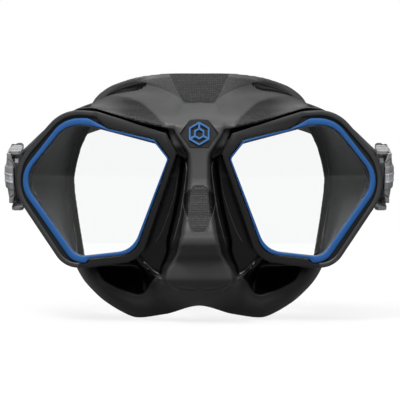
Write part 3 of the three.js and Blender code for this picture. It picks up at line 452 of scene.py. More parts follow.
def material(name, colour, roughness, grain, **extra):
    """A node material: colour with fine mottling, roughness variation, grain bump and pointy edges painted
    lighter as a painted highlight.
    """
    mat, tree, shader, place = new_material(name)
    feed(tree, shader, {"Roughness": roughness, "Metallic": extra.get("metallic", 0.0),
                        "Specular IOR Level": extra.get("specular", 0.5)})
    zones = extra.get("zones", [])

    def shade(share):
        return [min(c * share, 1) for c in colour] + [1]

    mottle = noise(tree, place, extra.get("mottle_scale", MOTTLE_SCALE), MOTTLE_DETAIL)
    base = made(tree, "ValToRGB", "Color", {"Fac": mottle})
    spread = extra.get("spread", MOTTLE_SPREAD)
    for stop, at, share in zip(base.node.color_ramp.elements, MOTTLE_STOPS, (1 - spread, 1 + spread)):
        stop.position = at
        stop.color = shade(share)
    # Painted highlight: pointy edges get a lighter colour
    if "edge" in extra:
        edge_highlight = ranged(tree, made(tree, "NewGeometry", "Pointiness"), EDGE_HIGHLIGHT)
        base = blended(tree, "RGBA", edge_highlight, base, [*extra["edge"], 1])
    # Each zone tints the colour by its share; on the silicone two of the zones are painted shade
    for zone, share, _ in zones:
        base = blended(tree, "RGBA", attribute(tree, zone), base, shade(share))
    # Painted shade in the gaps between the raised dots
    if "dots" in extra:
        cells = {"Vector": place, "Scale": extra["dots"], "Randomness": DOT_JITTER}
        apart = made(tree, "TexVoronoi", "Distance", cells)
        dotted = attribute(tree, "texture_zone")
        between = calculated(tree, "MULTIPLY", ranged(tree, apart, DOT_GAP), dotted)
        base = blended(tree, "RGBA", between, base, shade(GAP_PAINTED_SHADE))

    limits = {"To Min": roughness * (1 - ROUGH_SPREAD), "To Max": min(roughness * (1 + ROUGH_SPREAD), 1.0)}
    matt = ranged(tree, noise(tree, place, ROUGH_SCALE, ROUGH_DETAIL), limits)
    for zone, _, finish in zones:
        matt = blended(tree, "FLOAT", attribute(tree, zone), matt, finish)

    height = noise(tree, place, GRAIN_SCALE, GRAIN_DETAIL)
    if zones:
        height = blended(tree, "FLOAT", attribute(tree, "polish_zone"), height, GRAIN_MIDDLE)
    bump = {"Height": height, "Strength": grain, "Distance": GRAIN_HEIGHT}
    if "bevel" in extra:
        bump["Normal"] = made(tree, "Bevel", "Normal", {"Radius": extra["bevel"]}, samples=BEVEL_SAMPLES)
    normal = made(tree, "Bump", "Normal", bump)
    if "dots" in extra:
        domes = calculated(tree, "MULTIPLY", ranged(tree, apart, DOT_DOME), dotted)
        normal = made(tree, "Bump", "Normal", {"Height": domes, "Normal": normal, "Strength": DOT_STRENGTH,
                                               "Distance": DOT_HEIGHT})
    feed(tree, shader, {"Base Color": base, "Roughness": matt, "Normal": normal})
    return mat


def glass_material(name):
    """Clear glass with a thin film, which lets shadow rays through."""
    mat, tree, shader, place = new_material(name)
    feed(tree, shader, {"Base Color": GLASS_TINT, "Roughness": GLASS_ROUGHNESS, "IOR": GLASS_IOR,
                        "Transmission Weight": 1.0})
    film = noise(tree, place, FILM_SCALE, FILM_DETAIL)
    feed(tree, shader, {"Roughness": ranged(tree, film, {"To Max": FILM_ROUGHNESS})})
    surface(tree, made(tree, "LightPath", "Is Shadow Ray"), shader.outputs["BSDF"],
            made(tree, "BsdfTransparent", "BSDF"))
    return mat


# Zones are (attribute of the mesh, share of the colour, roughness). On the silicone, the second zone is
# painted shade with a glossier finish in the valleys beside the nose, the gutter and the seal lip, and the
# third is painted shade on the inner temple wall
SILICONE = material("skirt_silicone", (0.05, 0.05, 0.0505), 0.45, grain=0.05, dots=1000.0,
                    mottle_scale=60.0, specular=0.3,
                    zones=[("texture_zone", 0.8, 0.55), ("polish_zone", 0.02, 0.2),
                           ("wall_zone", 0.04, 0.4)])
STRAP_RUBBER = material("strap_silicone", (0.018, 0.018, 0.0185), 0.5, grain=0.15)
FRAME_BLACK = material("frame_black", (0.005, 0.005, 0.0052), 0.5, grain=0.2)
FRAME_GREY = material("frame_strip", (0.032, 0.0322, 0.033), 0.4, grain=0.2, specular=0.4)
FRAME_COVER = material("frame_cover", (0.007, 0.007, 0.0072), 0.45, grain=0.15, bevel=0.25 * MM,
                       specular=0.35)
# The bezel's edge colour is a painted highlight on its pointy edges
BEZEL_BLUE = material("bezel_blue", (0.014, 0.08, 0.26), 0.55, grain=0.3, spread=0.06, specular=0.3,
                      edge=(0.04, 0.2, 0.5))
EMBLEM_BLUE = material("emblem_blue", (0.04, 0.15, 0.37), 0.45, grain=0.2, bevel=0.1 * MM)
BUCKLE_GREY = material("buckle_grey", (0.32, 0.32, 0.325), 0.4, grain=0.25, bevel=0.3 * MM)
BUCKLE_DARK = material("buckle_dark", (0.045, 0.046, 0.048), 0.42, grain=0.2, bevel=0.3 * MM)
INLAY = material("inlay_light", (0.62, 0.64, 0.68), 0.28, spread=0.04, grain=0.05, bevel=0.15 * MM)
STEEL = material("steel", (0.55, 0.56, 0.58), 0.3, metallic=1.0, grain=0.1, bevel=0.2 * MM)
GLASS = glass_material("lens_glass")

# The CAD pieces that show as they are, with a finish of their own
CARRIED = {
    "badge_plate": FRAME_BLACK, "badge_emblem": EMBLEM_BLUE, "swivel_pin": STEEL,
    "buckle_base": BUCKLE_DARK, "strap_roller": STEEL, "pawl": BUCKLE_DARK, "pawl_spring": STEEL,
    "button_top": BUCKLE_GREY, "button_bottom": BUCKLE_GREY,
}
for node_name, node in NODES.items():
    stem = node_name.replace("_right", "").replace("_left", "")
    if stem in CARRIED:
        for material_slot in node.material_slots:
            material_slot.material = CARRIED[stem]


def finish_piece(obj, mat, body, nodes, angle):
    """Shades a piece smooth up to an angle, gives it its material and body, and hides the CAD nodes it
    stands in for.
    """
    outward(obj)
    obj.data.shade_smooth()
    obj.data.set_sharp_from_angle(angle=math.radians(angle))
    obj.data.materials.clear()
    obj.data.materials.append(mat)
    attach(obj, body)
    if nodes:
        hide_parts(*nodes)
    return obj


# Skirt

# The wall is thicker where it turns from the cheek to the nose
CORNER_X, CORNER_LOW, CORNER_REACH, CORNER_EXTRA = 23.5, -30.0, 6.0, 1.6
VOXEL = 0.45

# Lines of the moulding as the front view shows them, right half: (distance from the middle, height)
LOBE_TOP = [(7.3, 40), (12, 43.2), (17.6, 45.9), (25.7, 47.9), (32, 47.3), (40.1, 44.1), (45.5, 40.5)]
SIDE_PANEL = [(43.3, 40.5), (40.1, 41.9), (33.4, 41.9), (26.6, 40.1), (21.2, 36), (16.3, 30.6), (14, 25.7)]
PANEL_FOOT = [(20, 27), (32, 30.6), (42, 34.6)]
TOP_PAD = [(12.8, 50.2), (11, 45.8), (6.8, 39.2), (0, 39.1)]
NOSE_PAD = [(2.8, 1.6), (7, -2.2), (7.2, -6.75), (5.6, -13), (3.6, -18.4), (2, -19.6), (0, -19.7)]
RIDGE_END = [(3.3, 15), (3.3, 3), (2.6, 1.4), (1.2, 0.6), (0, 0.4)]
GUTTER = [(45.5, -36.9), (42.8, -41), (35.6, -45), (30, -47.2), (27.1, -47.7), (23.9, -46.4), (21.2, -41.9),
          (19, -39.6)]
LOWER_SEAM = [(19, -40.5), (15, -42), (10.9, -43.2), (5, -44.6), (0, -45)]
VALLEY_OUTER = [(10.2, 16.6), (9, 14), (9.4, 8), (11.6, -4), (16.5, -18), (20, -24)]
VALLEY_INNER = [(6.6, 13.6), (5.6, 10), (6.4, 2), (8.6, -12), (12.4, -26)]
BROW_LINE = [(15.4, 30), (12.6, 26.4), (11.4, 23)]

# Sculpted forms: (line, depth) of the grooves, and (line, width, height) of the raised beads
GROOVES = [(LOWER_SEAM, 0.35), (BROW_LINE, 0.4), (LOBE_TOP, 0.5)]
GROOVE_WIDTH = 0.45
BEADS = [(SIDE_PANEL, 0.45, 0.16), (TOP_PAD, 0.4, 0.14), (NOSE_PAD, 0.4, 0.14), (RIDGE_END, 0.45, 0.16),
         (VALLEY_OUTER, 0.5, 0.3), (VALLEY_INNER, 0.5, 0.3), (GUTTER, 0.8, 0.35)]
BEAD_SIDES, BEAD_TAPER, BEAD_JUMP = 8, 5, 3.0
LOBE_STEP, LOBE_HOLLOW = 0.35, 0.8
SIDE_PANEL_RISE, NOSE_PAD_STEP = 0.3, 0.25
PAD_HOLLOW, PAD_HOLLOW_Z, PAD_HOLLOW_REACH, PAD_LOW = 1.1, 40.2, 3.2, 38
GUTTER_RISE, GUTTER_SPREAD = 0.9, 1.1
FUNNEL_PASSES, RELAX_SHARE = 40, 0.6
SEAL_LIP, SEAL_FADE, SEAL_DEPTH = 4.4, 0.8, 1.8
# Where the inner temple wall gets painted shade: centre height, reach up and down, depth where it starts,
# fade, and least distance from the middle
WALL_ZONE_Z, WALL_ZONE_REACH, WALL_ZONE_Y, WALL_ZONE_FADE, WALL_ZONE_X = 4, 13, 4, 10, 50
REMESH_RELAX, REMESH_PASSES = 0.5, 7
FAR = 1e9


def station_rows(steps):
    right = []
    for (x, y, z), rim, bend in STATIONS:
        front = y if y != 0 else lens_plane(x, z) + BASE_DEPTH
        right.append([x, front, z, *rim, *bend])
    left = [[-v[0], v[1], v[2], -v[3], *v[4:]] for v in reversed(right[1:-1])]
    rows = np.array(right + left)
    t = np.arange(steps) / steps
    return np.array([spline(rows[i - 1], rows[i], rows[(i + 1) % len(rows)], rows[(i + 2) % len(rows)], u)
                     for i in range(len(rows)) for u in t])


def band_ring(row, way, wall_steps=18, flange_steps=10):
    """One closed profile of the skirt's wall: out over the rim and back along the inside."""
    f, r = row[0:3].copy(), row[3:6].copy()
    out1, back1, out2, back2 = row[6:10]
    side = np.array([way[0], 0, way[1]])
    base = lens_plane(f[0], f[2]) + BASE_DEPTH
    rim = r - RIM_INSET * side
    c1 = f + (rim - f) * (out1, back1, out1)
    c2 = f + (rim - f) * (out2, back2, out2)
    run = rim - c2
    knee = rim + run * RIM_ROLL / np.linalg.norm(run)
    tip = rim - FLANGE_WIDTH * side + (0, FLANGE_BACK, 0)
    hook = float(smooth((base - f[1]) / HOOK_RUN))
    at = lambda o, y: np.array([f[0] + o * way[0], y, f[2] + o * way[1]])
    toe = TOE + (TOP_TOE - TOE) * hook
    outer = [at(-toe, base), at(-toe / 2 * (1 - hook), base), f]
    for k in range(1, wall_steps + 1):
        outer.append(bezier([f, c1, c2, rim], k / wall_steps))
    for k in range(1, flange_steps + 1):
        outer.append(bezier([rim, knee, tip], k / flange_steps))
    across = [p @ side for p in outer]
    inner = []
    for i, p in enumerate(outer):
        if i == 0:
            inner.append(at(-toe, base + WALL))
            continue
        if i == 1:
            inner.append(at(-WALL - 0.15 + hook * (WALL + 1.5), base + WALL + 0.3))
            continue
        a, b = max(i - 1, 2), min(i + 1, len(outer) - 1)
        dr, dy = across[b] - across[a], outer[b][1] - outer[a][1]
        length = math.hypot(dr, dy)
        step = (i - 2) / wall_steps
        thick = WALL + (LIP - WALL) * float(smooth((step - 1 / 3) * 2))
        if f[2] < CORNER_LOW:
            thick += CORNER_EXTRA * max(0.0, 1 - abs(abs(f[0]) - CORNER_X) / CORNER_REACH)
        offset = p - side * thick * dy / length
        offset[1] += thick * dr / length + (WALL + 0.9 if i == 2 else 0) * (1 - hook)
        weight = hook * (1 - min(step / ROOT_SHARE, 1))**2
        root = at(WALL + ROOT_OUT, base - ROOT_AHEAD - ROOT_RUN * step)
        inner.append(offset + (root - offset) * weight)
    return outer + inner[::-1]


def skirt_band():
    rows = station_rows(8)
    rings = []
    for i, row in enumerate(rows):
        d = rows[(i + 1) % len(rows)] - rows[i - 1]
        length = math.hypot(d[3], d[5])
        rings.append(band_ring(row, (-d[5] / length, d[3] / length)))
    return skin(rings, endless=True)


def nose_depth(x, z, wall):
    """Depth of the nose's front, or of its inside where a wall is given."""
    crest, run = look_up(NOSE, z, 1), look_up(NOSE, z, 3)
    half = look_up(NOSE, z, 2) - 0.8 * wall
    share = smooth((np.abs(x) - half) / run)
    base = lens_plane(x, z) + BASE_DEPTH + GAP
    return crest + (base - crest) * share + wall


def nose_panel(rows=110, columns=72):
    top, bottom = NOSE[0][0], NOSE[-1][0]
    rings = []
    for i in range(rows + 1):
        z = top + (bottom - top) * i / rows
        crest = look_up(NOSE, z, 2)
        foot = crest + look_up(NOSE, z, 3)
        edge = max(look_up(PANEL, z, 1), foot + 0.4)
        share = np.linspace(-1, 1, columns + 1)
        x = np.interp(np.abs(share), [0, 0.25, 0.75, 1], [0, crest, foot, edge]) * np.sign(share)
        front = np.stack([x, nose_depth(x, z, 0), np.full_like(x, z)], 1)
        back = np.stack([x, nose_depth(x, z, NOSE_WALL), np.full_like(x, z)], 1)
        rings.append(np.concatenate([front, back[::-1]]))
    around = len(rings[0])
    vertices, faces = skin(rings)
    faces = faces[:-2]
    for ring in (0, rows):
        start = ring * around
        for k in range(around // 2 - 1):
            faces.append((start + k, start + k + 1, start + around - 2 - k, start + around - 1 - k))
    return vertices, faces


def bridge_bar(clearance):
    reach = RING[1][0] + 4
    front = lens_plane(0, 0) + BRIDGE_FRONT - clearance
    return box_mesh((-reach, front, BRIDGE_LOW - clearance),
                    (reach, front + BRIDGE_THICK + 2 * clearance, BRIDGE_HIGH + clearance))


def badge_outline(clearance):
    w, h, flat = BADGE_HALF_WIDTH + clearance, BADGE_HALF_HEIGHT + clearance, BADGE_FLAT + clearance / 2
    c = BADGE_CENTRE_Z
    return [(w, c), (flat, c + h), (-flat, c + h), (-w, c), (-flat, c - h), (flat, c - h)]


def seen_from_front(points):
    """Where points appear in the front view, in millimetres at the lens plane."""
    share = (-LENS_SETBACK - EYE[1]) / (points[:, 1] - EYE[1])
    return EYE[0] + (points[:, 0] - EYE[0]) * share, EYE[2] + (points[:, 2] - EYE[2]) * share


def curve(points, steps=8):
    """A smooth line through points."""
    p = np.array(points, float)
    ends = np.concatenate([p[:1], p, p[-1:]])
    line = [spline(ends[i], ends[i + 1], ends[i + 2], ends[i + 3], k / steps)
            for i in range(len(p) - 1) for k in range(steps)]
    return np.array(line + [p[-1]])


def distance(u, w, line):
    """How far points are from a line."""
    best = np.full(len(u), FAR)
    for (ax, az), (bx, bz) in zip(line, line[1:]):
        dx, dz = bx - ax, bz - az
        t = np.clip(((u - ax) * dx + (w - az) * dz) / (dx * dx + dz * dz), 0, 1)
        best = np.minimum(best, np.hypot(u - ax - t * dx, w - az - t * dz))
    return best


def inside(u, w, polygon):
    """Which points lie in a polygon."""
    result = np.zeros(len(u), bool)
    for (ax, az), (bx, bz) in zip(polygon, np.roll(polygon, -1, 0)):
        if az != bz:
            crosses = (az > w) != (bz > w)
            result ^= crosses & (u < ax + (bx - ax) * (w - az) / (bz - az))
    return result


def relaxed(mesh, values, weight, passes):
    """Evens out vertex values with their neighbours where the weight is high."""
    ends = np.empty(len(mesh.edges) * 2, int)
    mesh.edges.foreach_get("vertices", ends)
    a, b = ends.reshape(-1, 2).T
    chosen = (weight[a] > 0) | (weight[b] > 0)
    a, b = a[chosen], b[chosen]
    count = len(values)
    degree = np.maximum(np.bincount(a, minlength=count) + np.bincount(b, minlength=count), 1)
    for _ in range(passes):
        total = np.bincount(a, values[b], count) + np.bincount(b, values[a], count)
        values = values + (total / degree - values) * np.where(weight > 0, weight * RELAX_SHARE, 0)
    return values


def seal_distance(points):
    """How far points of the face seal are from its free edge. Points in front of it count as far away."""
    rows = station_rows(8)
    ahead, behind = np.roll(rows, -1, 0), np.roll(rows, 1, 0)
    way = np.stack([behind[:, 5] - ahead[:, 5], ahead[:, 3] - behind[:, 3]], 1)
    way /= np.linalg.norm(way, axis=1)[:, None]
    inset = (FLANGE_WIDTH + RIM_INSET) * way
    edge = rows[:, 3:6] + np.stack([-inset[:, 0], np.full(len(rows), FLANGE_BACK), -inset[:, 1]], 1)
    best, depth = np.full(len(points), FAR), np.zeros(len(points))
    for place in edge:
        apart = ((points - place)**2).sum(1)
        depth = np.where(apart < best, place[1], depth)
        best = np.minimum(best, apart)
    return np.where(points[:, 1] > depth - SEAL_DEPTH, np.sqrt(best), FAR)


def sculpt(obj):
    """Moves the front of the moulding in and out, and marks the zones of its material, among them the
    painted shade in its hollows and on the inner temple wall.
    """
    mesh = obj.data
    co, normal = points_of(obj), read_vertices(mesh, "normal")
    u, w = seen_from_front(co)
    u = np.abs(u)
    facing = np.clip(-normal[:, 1] * 3, 0, 1)

    # Forehead: the lobes and side panels, and the pad in the middle
    top, panel = curve(LOBE_TOP), curve(SIDE_PANEL)
    in_lobe = inside(u, w, np.concatenate([top, panel]))
    d_top, d_panel = distance(u, w, top), distance(u, w, panel)
    share = d_top / (d_top + d_panel + 1e-6)
    fade = ramp(u, 5, 8) * ramp(w, 29, 8)
    lobe = (LOBE_STEP * smooth(d_top / 0.8) + LOBE_HOLLOW * np.sin(math.pi * share**0.8)) * fade
    move = np.where(in_lobe, lobe, 0.0)
    in_side = inside(u, w, np.concatenate([panel, curve(PANEL_FOOT)]))
    move += np.where(in_side, -SIDE_PANEL_RISE * smooth(d_panel / 0.8), 0.0)
    in_pad = inside(u, w, np.array(TOP_PAD + [(0, 60), (15, 60)], float)) & (w > PAD_LOW)
    d_pad = distance(u, w, curve(TOP_PAD))
    hollow = PAD_HOLLOW * np.exp(-((w - PAD_HOLLOW_Z) / PAD_HOLLOW_REACH)**2) * smooth(d_pad / 1.5)
    move += np.where(in_pad, hollow, 0.0)

    # Nose pad, gutters and grooves
    in_nose = inside(u, w, np.concatenate([curve(NOSE_PAD), [(0, 2)]]))
    nose_edge = smooth(distance(u, w, curve(NOSE_PAD)) / 0.6)
    move += np.where(in_nose, NOSE_PAD_STEP * nose_edge, 0.0)
    gutter = curve(GUTTER)
    d_gutter = distance(u, w, gutter)
    in_gutter = inside(u, w, np.concatenate([gutter, [(19, -30), (46, -30)]]))
    move -= GUTTER_RISE * np.exp(-(d_gutter / GUTTER_SPREAD)**2) * (w < -34)
    for line, deep in GROOVES:
        move += deep * np.exp(-(distance(u, w, curve(line)) / GROOVE_WIDTH)**2)
    co[:, 1] += move * facing
    funnel = ramp(u, 16, -4) * ramp(w, 20, 4) * ramp(w, 38, -3) * facing
    co[:, 1] = relaxed(mesh, co[:, 1], funnel, FUNNEL_PASSES)
    placed(obj, co, "right")

    # Zones of the material: the dotted texture, and painted shade in the valleys, the gutter trough, the
    # seal lip and the middle of the inner temple wall
    above = (w > 41) & (u < 44) & ~in_lobe & (distance(u, w, curve(TOP_EDGE)) > 1.5)
    dotted = np.maximum.reduce([
        np.where(in_pad, smooth(d_pad / 0.5), 0.0),
        np.where(above, 0.6 * smooth(d_top / 1.2) * ramp(u, 44, -14), 0.0),
        np.where(in_side, smooth(d_panel / 1.2) * ramp(u, 42, -12), 0.0),
        np.where(in_nose, nose_edge, 0.0),
    ])
    heights = np.linspace(NOSE[-1][0], NOSE[0][0], 78)
    crest = np.interp(co[:, 2], heights, [look_up(NOSE, z, 1) for z in heights])
    valley = ramp(co[:, 1] - crest, 2, 2.5) * ramp(w, 21.5, -3) * ramp(w, -40, 3)
    trough = np.where(in_gutter & (w < -33), smooth(d_gutter / 1.2), 0.0) * facing
    lip = ramp(seal_distance(co), SEAL_LIP, -SEAL_FADE)
    # Painted shade: the middle of the inner temple wall is darkened
    inward = np.clip(-normal[:, 0] * np.sign(co[:, 0]) * 2, 0, 1)
    wall = inward * np.exp(-((co[:, 2] - WALL_ZONE_Z) / WALL_ZONE_REACH)**2)
    wall *= ramp(co[:, 1], WALL_ZONE_Y, -WALL_ZONE_FADE) * (np.abs(co[:, 0]) > WALL_ZONE_X)
    # Painted shade, with a glossier finish: the valleys beside the nose, the gutter trough and the seal lip
    # are darkened
    shade_and_polish = np.maximum.reduce([valley * (u < 31) * facing, trough, lip])
    for name, values in (("texture_zone", dotted * facing), ("polish_zone", shade_and_polish), ("wall_zone", wall)):
        layer = mesh.attributes.new(name, "FLOAT", "POINT")
        layer.data.foreach_set("value", values.astype(np.float32))


def bead(tree, line, width, height):
    """A raised line laid on the moulding where the front view shows it."""
    path, lift = [], []
    for u, w in curve(line, 10):
        target = Vector((u, -LENS_SETBACK, w)) * MM
        eye = Vector(EYE) * MM
        place, normal, _, _ = tree.ray_cast(eye, (target - eye).normalized())
        if place is None or (path and (place / MM - path[-1]).length > BEAD_JUMP):
            continue
        path.append(place / MM)
        lift.append(normal if normal.y < 0 else -normal)
    if len(path) < 4:
        return None
    rings = []
    turns = np.linspace(0, 2 * math.pi, BEAD_SIDES, endpoint=False)
    for i, (place, up) in enumerate(zip(path, lift)):
        along = (path[min(i + 1, len(path) - 1)] - path[max(i - 1, 0)]).normalized()
        across = along.cross(up).normalized()
        taper = math.sin(math.pi * min(1, (min(i, len(path) - 1 - i) + 0.6) / BEAD_TAPER) / 2)
        wide, high = width / 2 * taper, height * taper
        rings.append([place + across * (math.cos(a) * wide) + up * (math.sin(a) * high) for a in turns])
    return skin(rings)


def skirt_lines(obj):
    """The fine raised lines of the moulding, in one piece."""
    tree = BVHTree.FromObject(obj, bpy.context.evaluated_depsgraph_get())
    parts = []
    for line, width, height in BEADS:
        part = bead(tree, line, width, height)
        if part:
            parts += both(part)
    piece = new_object("skirt_lines", *merge(parts))
    finish_piece(piece, SILICONE, "mask", [], 60.0)


def skirt_piece():
    """Band, nose panel, bridge sleeve and lens collars, grown into one skin, sculpted and cut open."""
    bar_front = lens_plane(0, 0) + BRIDGE_FRONT
    cover = GAP + WALL
    low, high, narrow = BRIDGE_LOW - cover, BRIDGE_HIGH + cover + 4, 5.2
    flank = [(13.6, high), (13.8, 25.6), (9.8, 16), (9.6, low + 2.2), (narrow, low)]
    sleeve = flank + [(-x, z) for x, z in reversed(flank)]
    bridge = prism_y(sleeve, bar_front - cover, bar_front + BRIDGE_THICK + cover)
    parts = [skirt_band(), nose_panel(), bridge]
    collar_front = LENS_THICK + GAP
    parts += both(slab_mesh(PLATE, BASE_DEPTH, BASE_DEPTH + WALL))
    parts += both(slab_mesh(WINDOW, collar_front, BASE_DEPTH + WALL / 2, LENS_TUCK))
    parts += both(slab_mesh(WEB, BASE_DEPTH + GAP / 2, BASE_DEPTH + WALL + GAP / 2))
    pieces = [outward(new_object(f"skirt_part_{i}", *part)) for i, part in enumerate(parts)]
    joined = merge([(points_of(p), [tuple(f.vertices) for f in p.data.polygons])
                    for p in pieces])
    for p in pieces:
        bpy.data.objects.remove(p)
    obj = new_object("skirt_moulding", *joined)
    remesh = obj.modifiers.new("remesh", "REMESH")
    remesh.mode = "VOXEL"
    remesh.voxel_size = VOXEL * MM
    relax = obj.modifiers.new("relax", "SMOOTH")
    relax.factor = REMESH_RELAX
    relax.iterations = REMESH_PASSES
    apply_modifiers(obj)
    sculpt(obj)
    tools = both(slab_mesh(WINDOW, collar_front - 2, BASE_DEPTH + WALL + 1))
    tools += [bridge_bar(GAP), prism_y(badge_outline(GAP), BADGE_FRONT - 20, BADGE_FLOOR + GAP)]
    combine(obj, tools)
    return finish_piece(obj, SILICONE, "mask", ["skirt"], 42.0)


skirt_lines(skirt_piece())


# Frame: rings with a groove and a lighter outer strip, a flush cover on the nose side, bridge and ears

# Where the frame's front is flush with its strip instead of grooved, as the front view shows it
COVERED = [(46.6, 40), (46, 32.2), (40.6, 27.2), (28, 17), (31, -22), (47.5, -28.5), (49.2, -31),
           (52.5, -34.2), (53, -40), (0, -40), (0, 40)]
STRIP_ENDS = [(53, -34), (48, 34)]
FRAME_BACK = FRAME_DEPTH - FRAME_PROUD
# How far the tools that cut pass the faces they go through
PAST = 5


def frame_piece():
    edge = [(-0.5, -FRAME_PROUD + 0.02), (-0.12, -FRAME_PROUD + 0.16), (0, -FRAME_PROUD + 0.55),
            (0, FRAME_BACK - 0.5), (-0.5, FRAME_BACK)]
    ears_from = lens_plane(EAR_INNER, PIVOT_Z) + 1
    low = (EAR_INNER, ears_from, PIVOT_Z - EAR_RADIUS)
    high = (EAR_INNER + EAR_THICK, PIVOT_Y, PIVOT_Z + EAR_RADIUS)
    obj = outward(new_object("frame_moulding", *lofted(RING, edge)))
    parts = [mirror_x(*lofted(RING, edge)), bridge_bar(0), *both(box_mesh(low, high)),
             *both(rod_x(EAR_RADIUS, EAR_INNER, EAR_INNER + EAR_THICK, PIVOT_Y, PIVOT_Z))]
    combine(obj, parts, "UNION")
    front = -FRAME_PROUD - PAST
    groove = lofted(RING, [(-STRIP_WIDTH, front), (-STRIP_WIDTH, -FRAME_PROUD + GROOVE_DEPTH)])
    seat = lofted(BEZEL, [(GAP, front), (GAP, -GAP)])
    bore = lofted(WINDOW, [(LENS_TUCK + GAP, -GAP - 0.5), (LENS_TUCK + GAP, FRAME_BACK + PAST)])
    hole = rod_x(PIN_RADIUS + RUN, EAR_INNER - PAST, EAR_INNER + EAR_THICK + PAST, PIVOT_Y, PIVOT_Z)
    for tool in (groove, seat, bore, hole):
        combine(obj, both(tool))
    finish_piece(obj, FRAME_BLACK, "mask", ["frame"], 35.0)


def flush_cover(side):
    """The smooth face between the bezel and the frame's edge, from the brow down the nose side."""
    depth = [(-0.55, -FRAME_PROUD - 0.12), (-0.3, -FRAME_PROUD), (-0.3, -FRAME_PROUD + GROOVE_DEPTH + 0.1)]
    around = GAP + 0.25
    obj = outward(new_object(f"frame_cover_{side}", *lofted(RING, depth)))
    combine(obj, [lofted(BEZEL, [(around, -FRAME_PROUD - PAST), (around, PAST)])])
    combine(obj, [prism_y(COVERED, -60, -20)], "INTERSECT")
    placed(obj, points_of(obj), side)
    finish_piece(obj, FRAME_COVER, "mask", [], 35.0)


def outer_strip(side):
    """The grey strip along the frame's outer edge, from the brow round the temple to the cheek."""
    section = [(-STRIP_WIDTH + 0.02, -FRAME_PROUD + 0.4), (-STRIP_WIDTH + 0.05, -FRAME_PROUD - 0.05),
               (-STRIP_WIDTH + 0.3, -FRAME_PROUD - 0.25), (-0.8, -FRAME_PROUD - 0.25),
               (-0.35, -FRAME_PROUD - 0.1), (-0.3, -FRAME_PROUD + 0.4)]
    rails = np.stack([on_lens(outline(RING, offset, 3.0), depth) for offset, depth in section], 1)
    path = rails[:, 0]
    first, last = (int(np.argmin(np.hypot(path[:, 0] - x, path[:, 2] - z))) for x, z in STRIP_ENDS)
    span = (last - first) % len(path)
    part = skin([rails[(first + k) % len(path)] for k in range(span + 1)])
    obj = new_object(f"frame_strip_{side}", *on_side(part, side))
    finish_piece(obj, FRAME_GREY, "mask", [], 50.0)


frame_piece()
for side in ("right", "left"):
    outer_strip(side)
    flush_cover(side)


def bezel_piece(side):
    outer = [(-0.7, -BEZEL_PROUD), (-0.2, -BEZEL_PROUD + 0.15), (0, -BEZEL_PROUD + 0.5), (0, -GAP)]
    inner = [(0.5, -BEZEL_PROUD), (0.1, -BEZEL_PROUD + 0.15), (0, -BEZEL_PROUD + 0.5), (0, -GAP)]
    obj = new_object(f"bezel_shell_{side}", *on_side(ring_slab(BEZEL, WINDOW, outer, inner), side))
    finish_piece(obj, BEZEL_BLUE, "mask", [f"bezel_{side}"], 40.0)


def lens_piece(side):
    """The glass, with fine chamfers that lie under the bezel."""
    fine = 0.3
    profile = [(LENS_TUCK - fine, 0), (LENS_TUCK, fine), (LENS_TUCK, LENS_THICK - fine),
               (LENS_TUCK - fine, LENS_THICK)]
    obj = new_object(f"lens_pane_{side}", *on_side(lofted(WINDOW, profile), side))
    finish_piece(obj, GLASS, "mask", [f"lens_{side}"], 20.0)


for side in ("right", "left"):
    bezel_piece(side)
    lens_piece(side)


# Harness: buckle shells and strap, made in the harness's own frame and then turned into place

SHELL_INNER, SHELL_OUTER, SHELL_FRONT, SHELL_REAR, SHELL_LIP = 88.45, 91.3, -8.9, 9.3, 86.0
# The shell leans up towards the front, and its lip draws in at both ends
SHELL_RISE, SHELL_RISE_FROM, SHELL_RISE_RUN = 2.0, 2, 11
SHELL_END, SHELL_END_DRAW = 11.4, 0.9
# Upper half of the shell and of the inlay: height, draw-in and lift of the face, or height and sink
SHELL_ROWS = [(2.4, 0, 0.3), (4.9, 0.1, 0.3), (5.5, 0.5, 0.25), (5.9, 0.95, 0), (8, 1.15, 0),
              (11.6, 1.6, 0), (12.2, 2.2, 0)]
INLAY_ROWS = [(1.35, 0.14), (1.5, 0), (2.2, 0), (2.3, 0.1)]
INLAY_LIFT, INLAY_PROUD, INLAY_DEPTH, INLAY_REAR = 0.3, 0.22, 0.5, 5.9
SLIT_FROM, SLIT_TO, SLIT_HALF, SLIT_RISE, SLIT_REAR = (86.9, 8.4), (90.6, 11.4), 0.22, 1.9, -3.4
STRAP_BEND, STRAP_TAIL_STEPS, STRAP_TURN_STEPS, STRAP_LOOP_STEPS = 0.27, 12, 24, 110
STRAP_EDGE, SLOT_STEPS = 0.8, 16


def both_ways(rows):
    """Rows that start with a height, mirrored downwards."""
    return [(-z, *rest) for z, *rest in reversed(rows)] + rows


def tilted(vertices):
    """From the harness's own frame to the mask's."""
    v = np.array(vertices, float)
    tilt = math.radians(HARNESS_TILT)
    y, z = v[:, 1].copy(), v[:, 2].copy()
    v[:, 1] = PIVOT_Y + y * math.cos(tilt) - z * math.sin(tilt)
    v[:, 2] = PIVOT_Z + y * math.sin(tilt) + z * math.cos(tilt)
    return v


def shell_section(z, reach, lift):
    """The shell's plan at one height: a lip before the base, a sloping face and the flat outer side."""
    lip = SHELL_LIP + (SHELL_END_DRAW if abs(z) > SHELL_END else 0)
    out, front = SHELL_OUTER - reach, SHELL_FRONT + 0.3 - lift
    plan = [(lip, front + 1.1), (lip, front + 0.3), (lip + 0.4, front), (lip + 1.9, front + 0.45),
            (out - 1.1, front + 3.6 + lift), (out - 0.25, front + 6.4 + lift), (out, front + 9 + lift),
            (out, SHELL_REAR - 2.4), (out - 0.9, SHELL_REAR), (SHELL_INNER, SHELL_REAR),
            (SHELL_INNER, front + 3.2), (SHELL_INNER - 0.5, front + 1.4)]
    return np.array([(x, y, z + SHELL_RISE * float(ramp(y, SHELL_RISE_FROM, -SHELL_RISE_RUN)))
                     for x, y in plan])


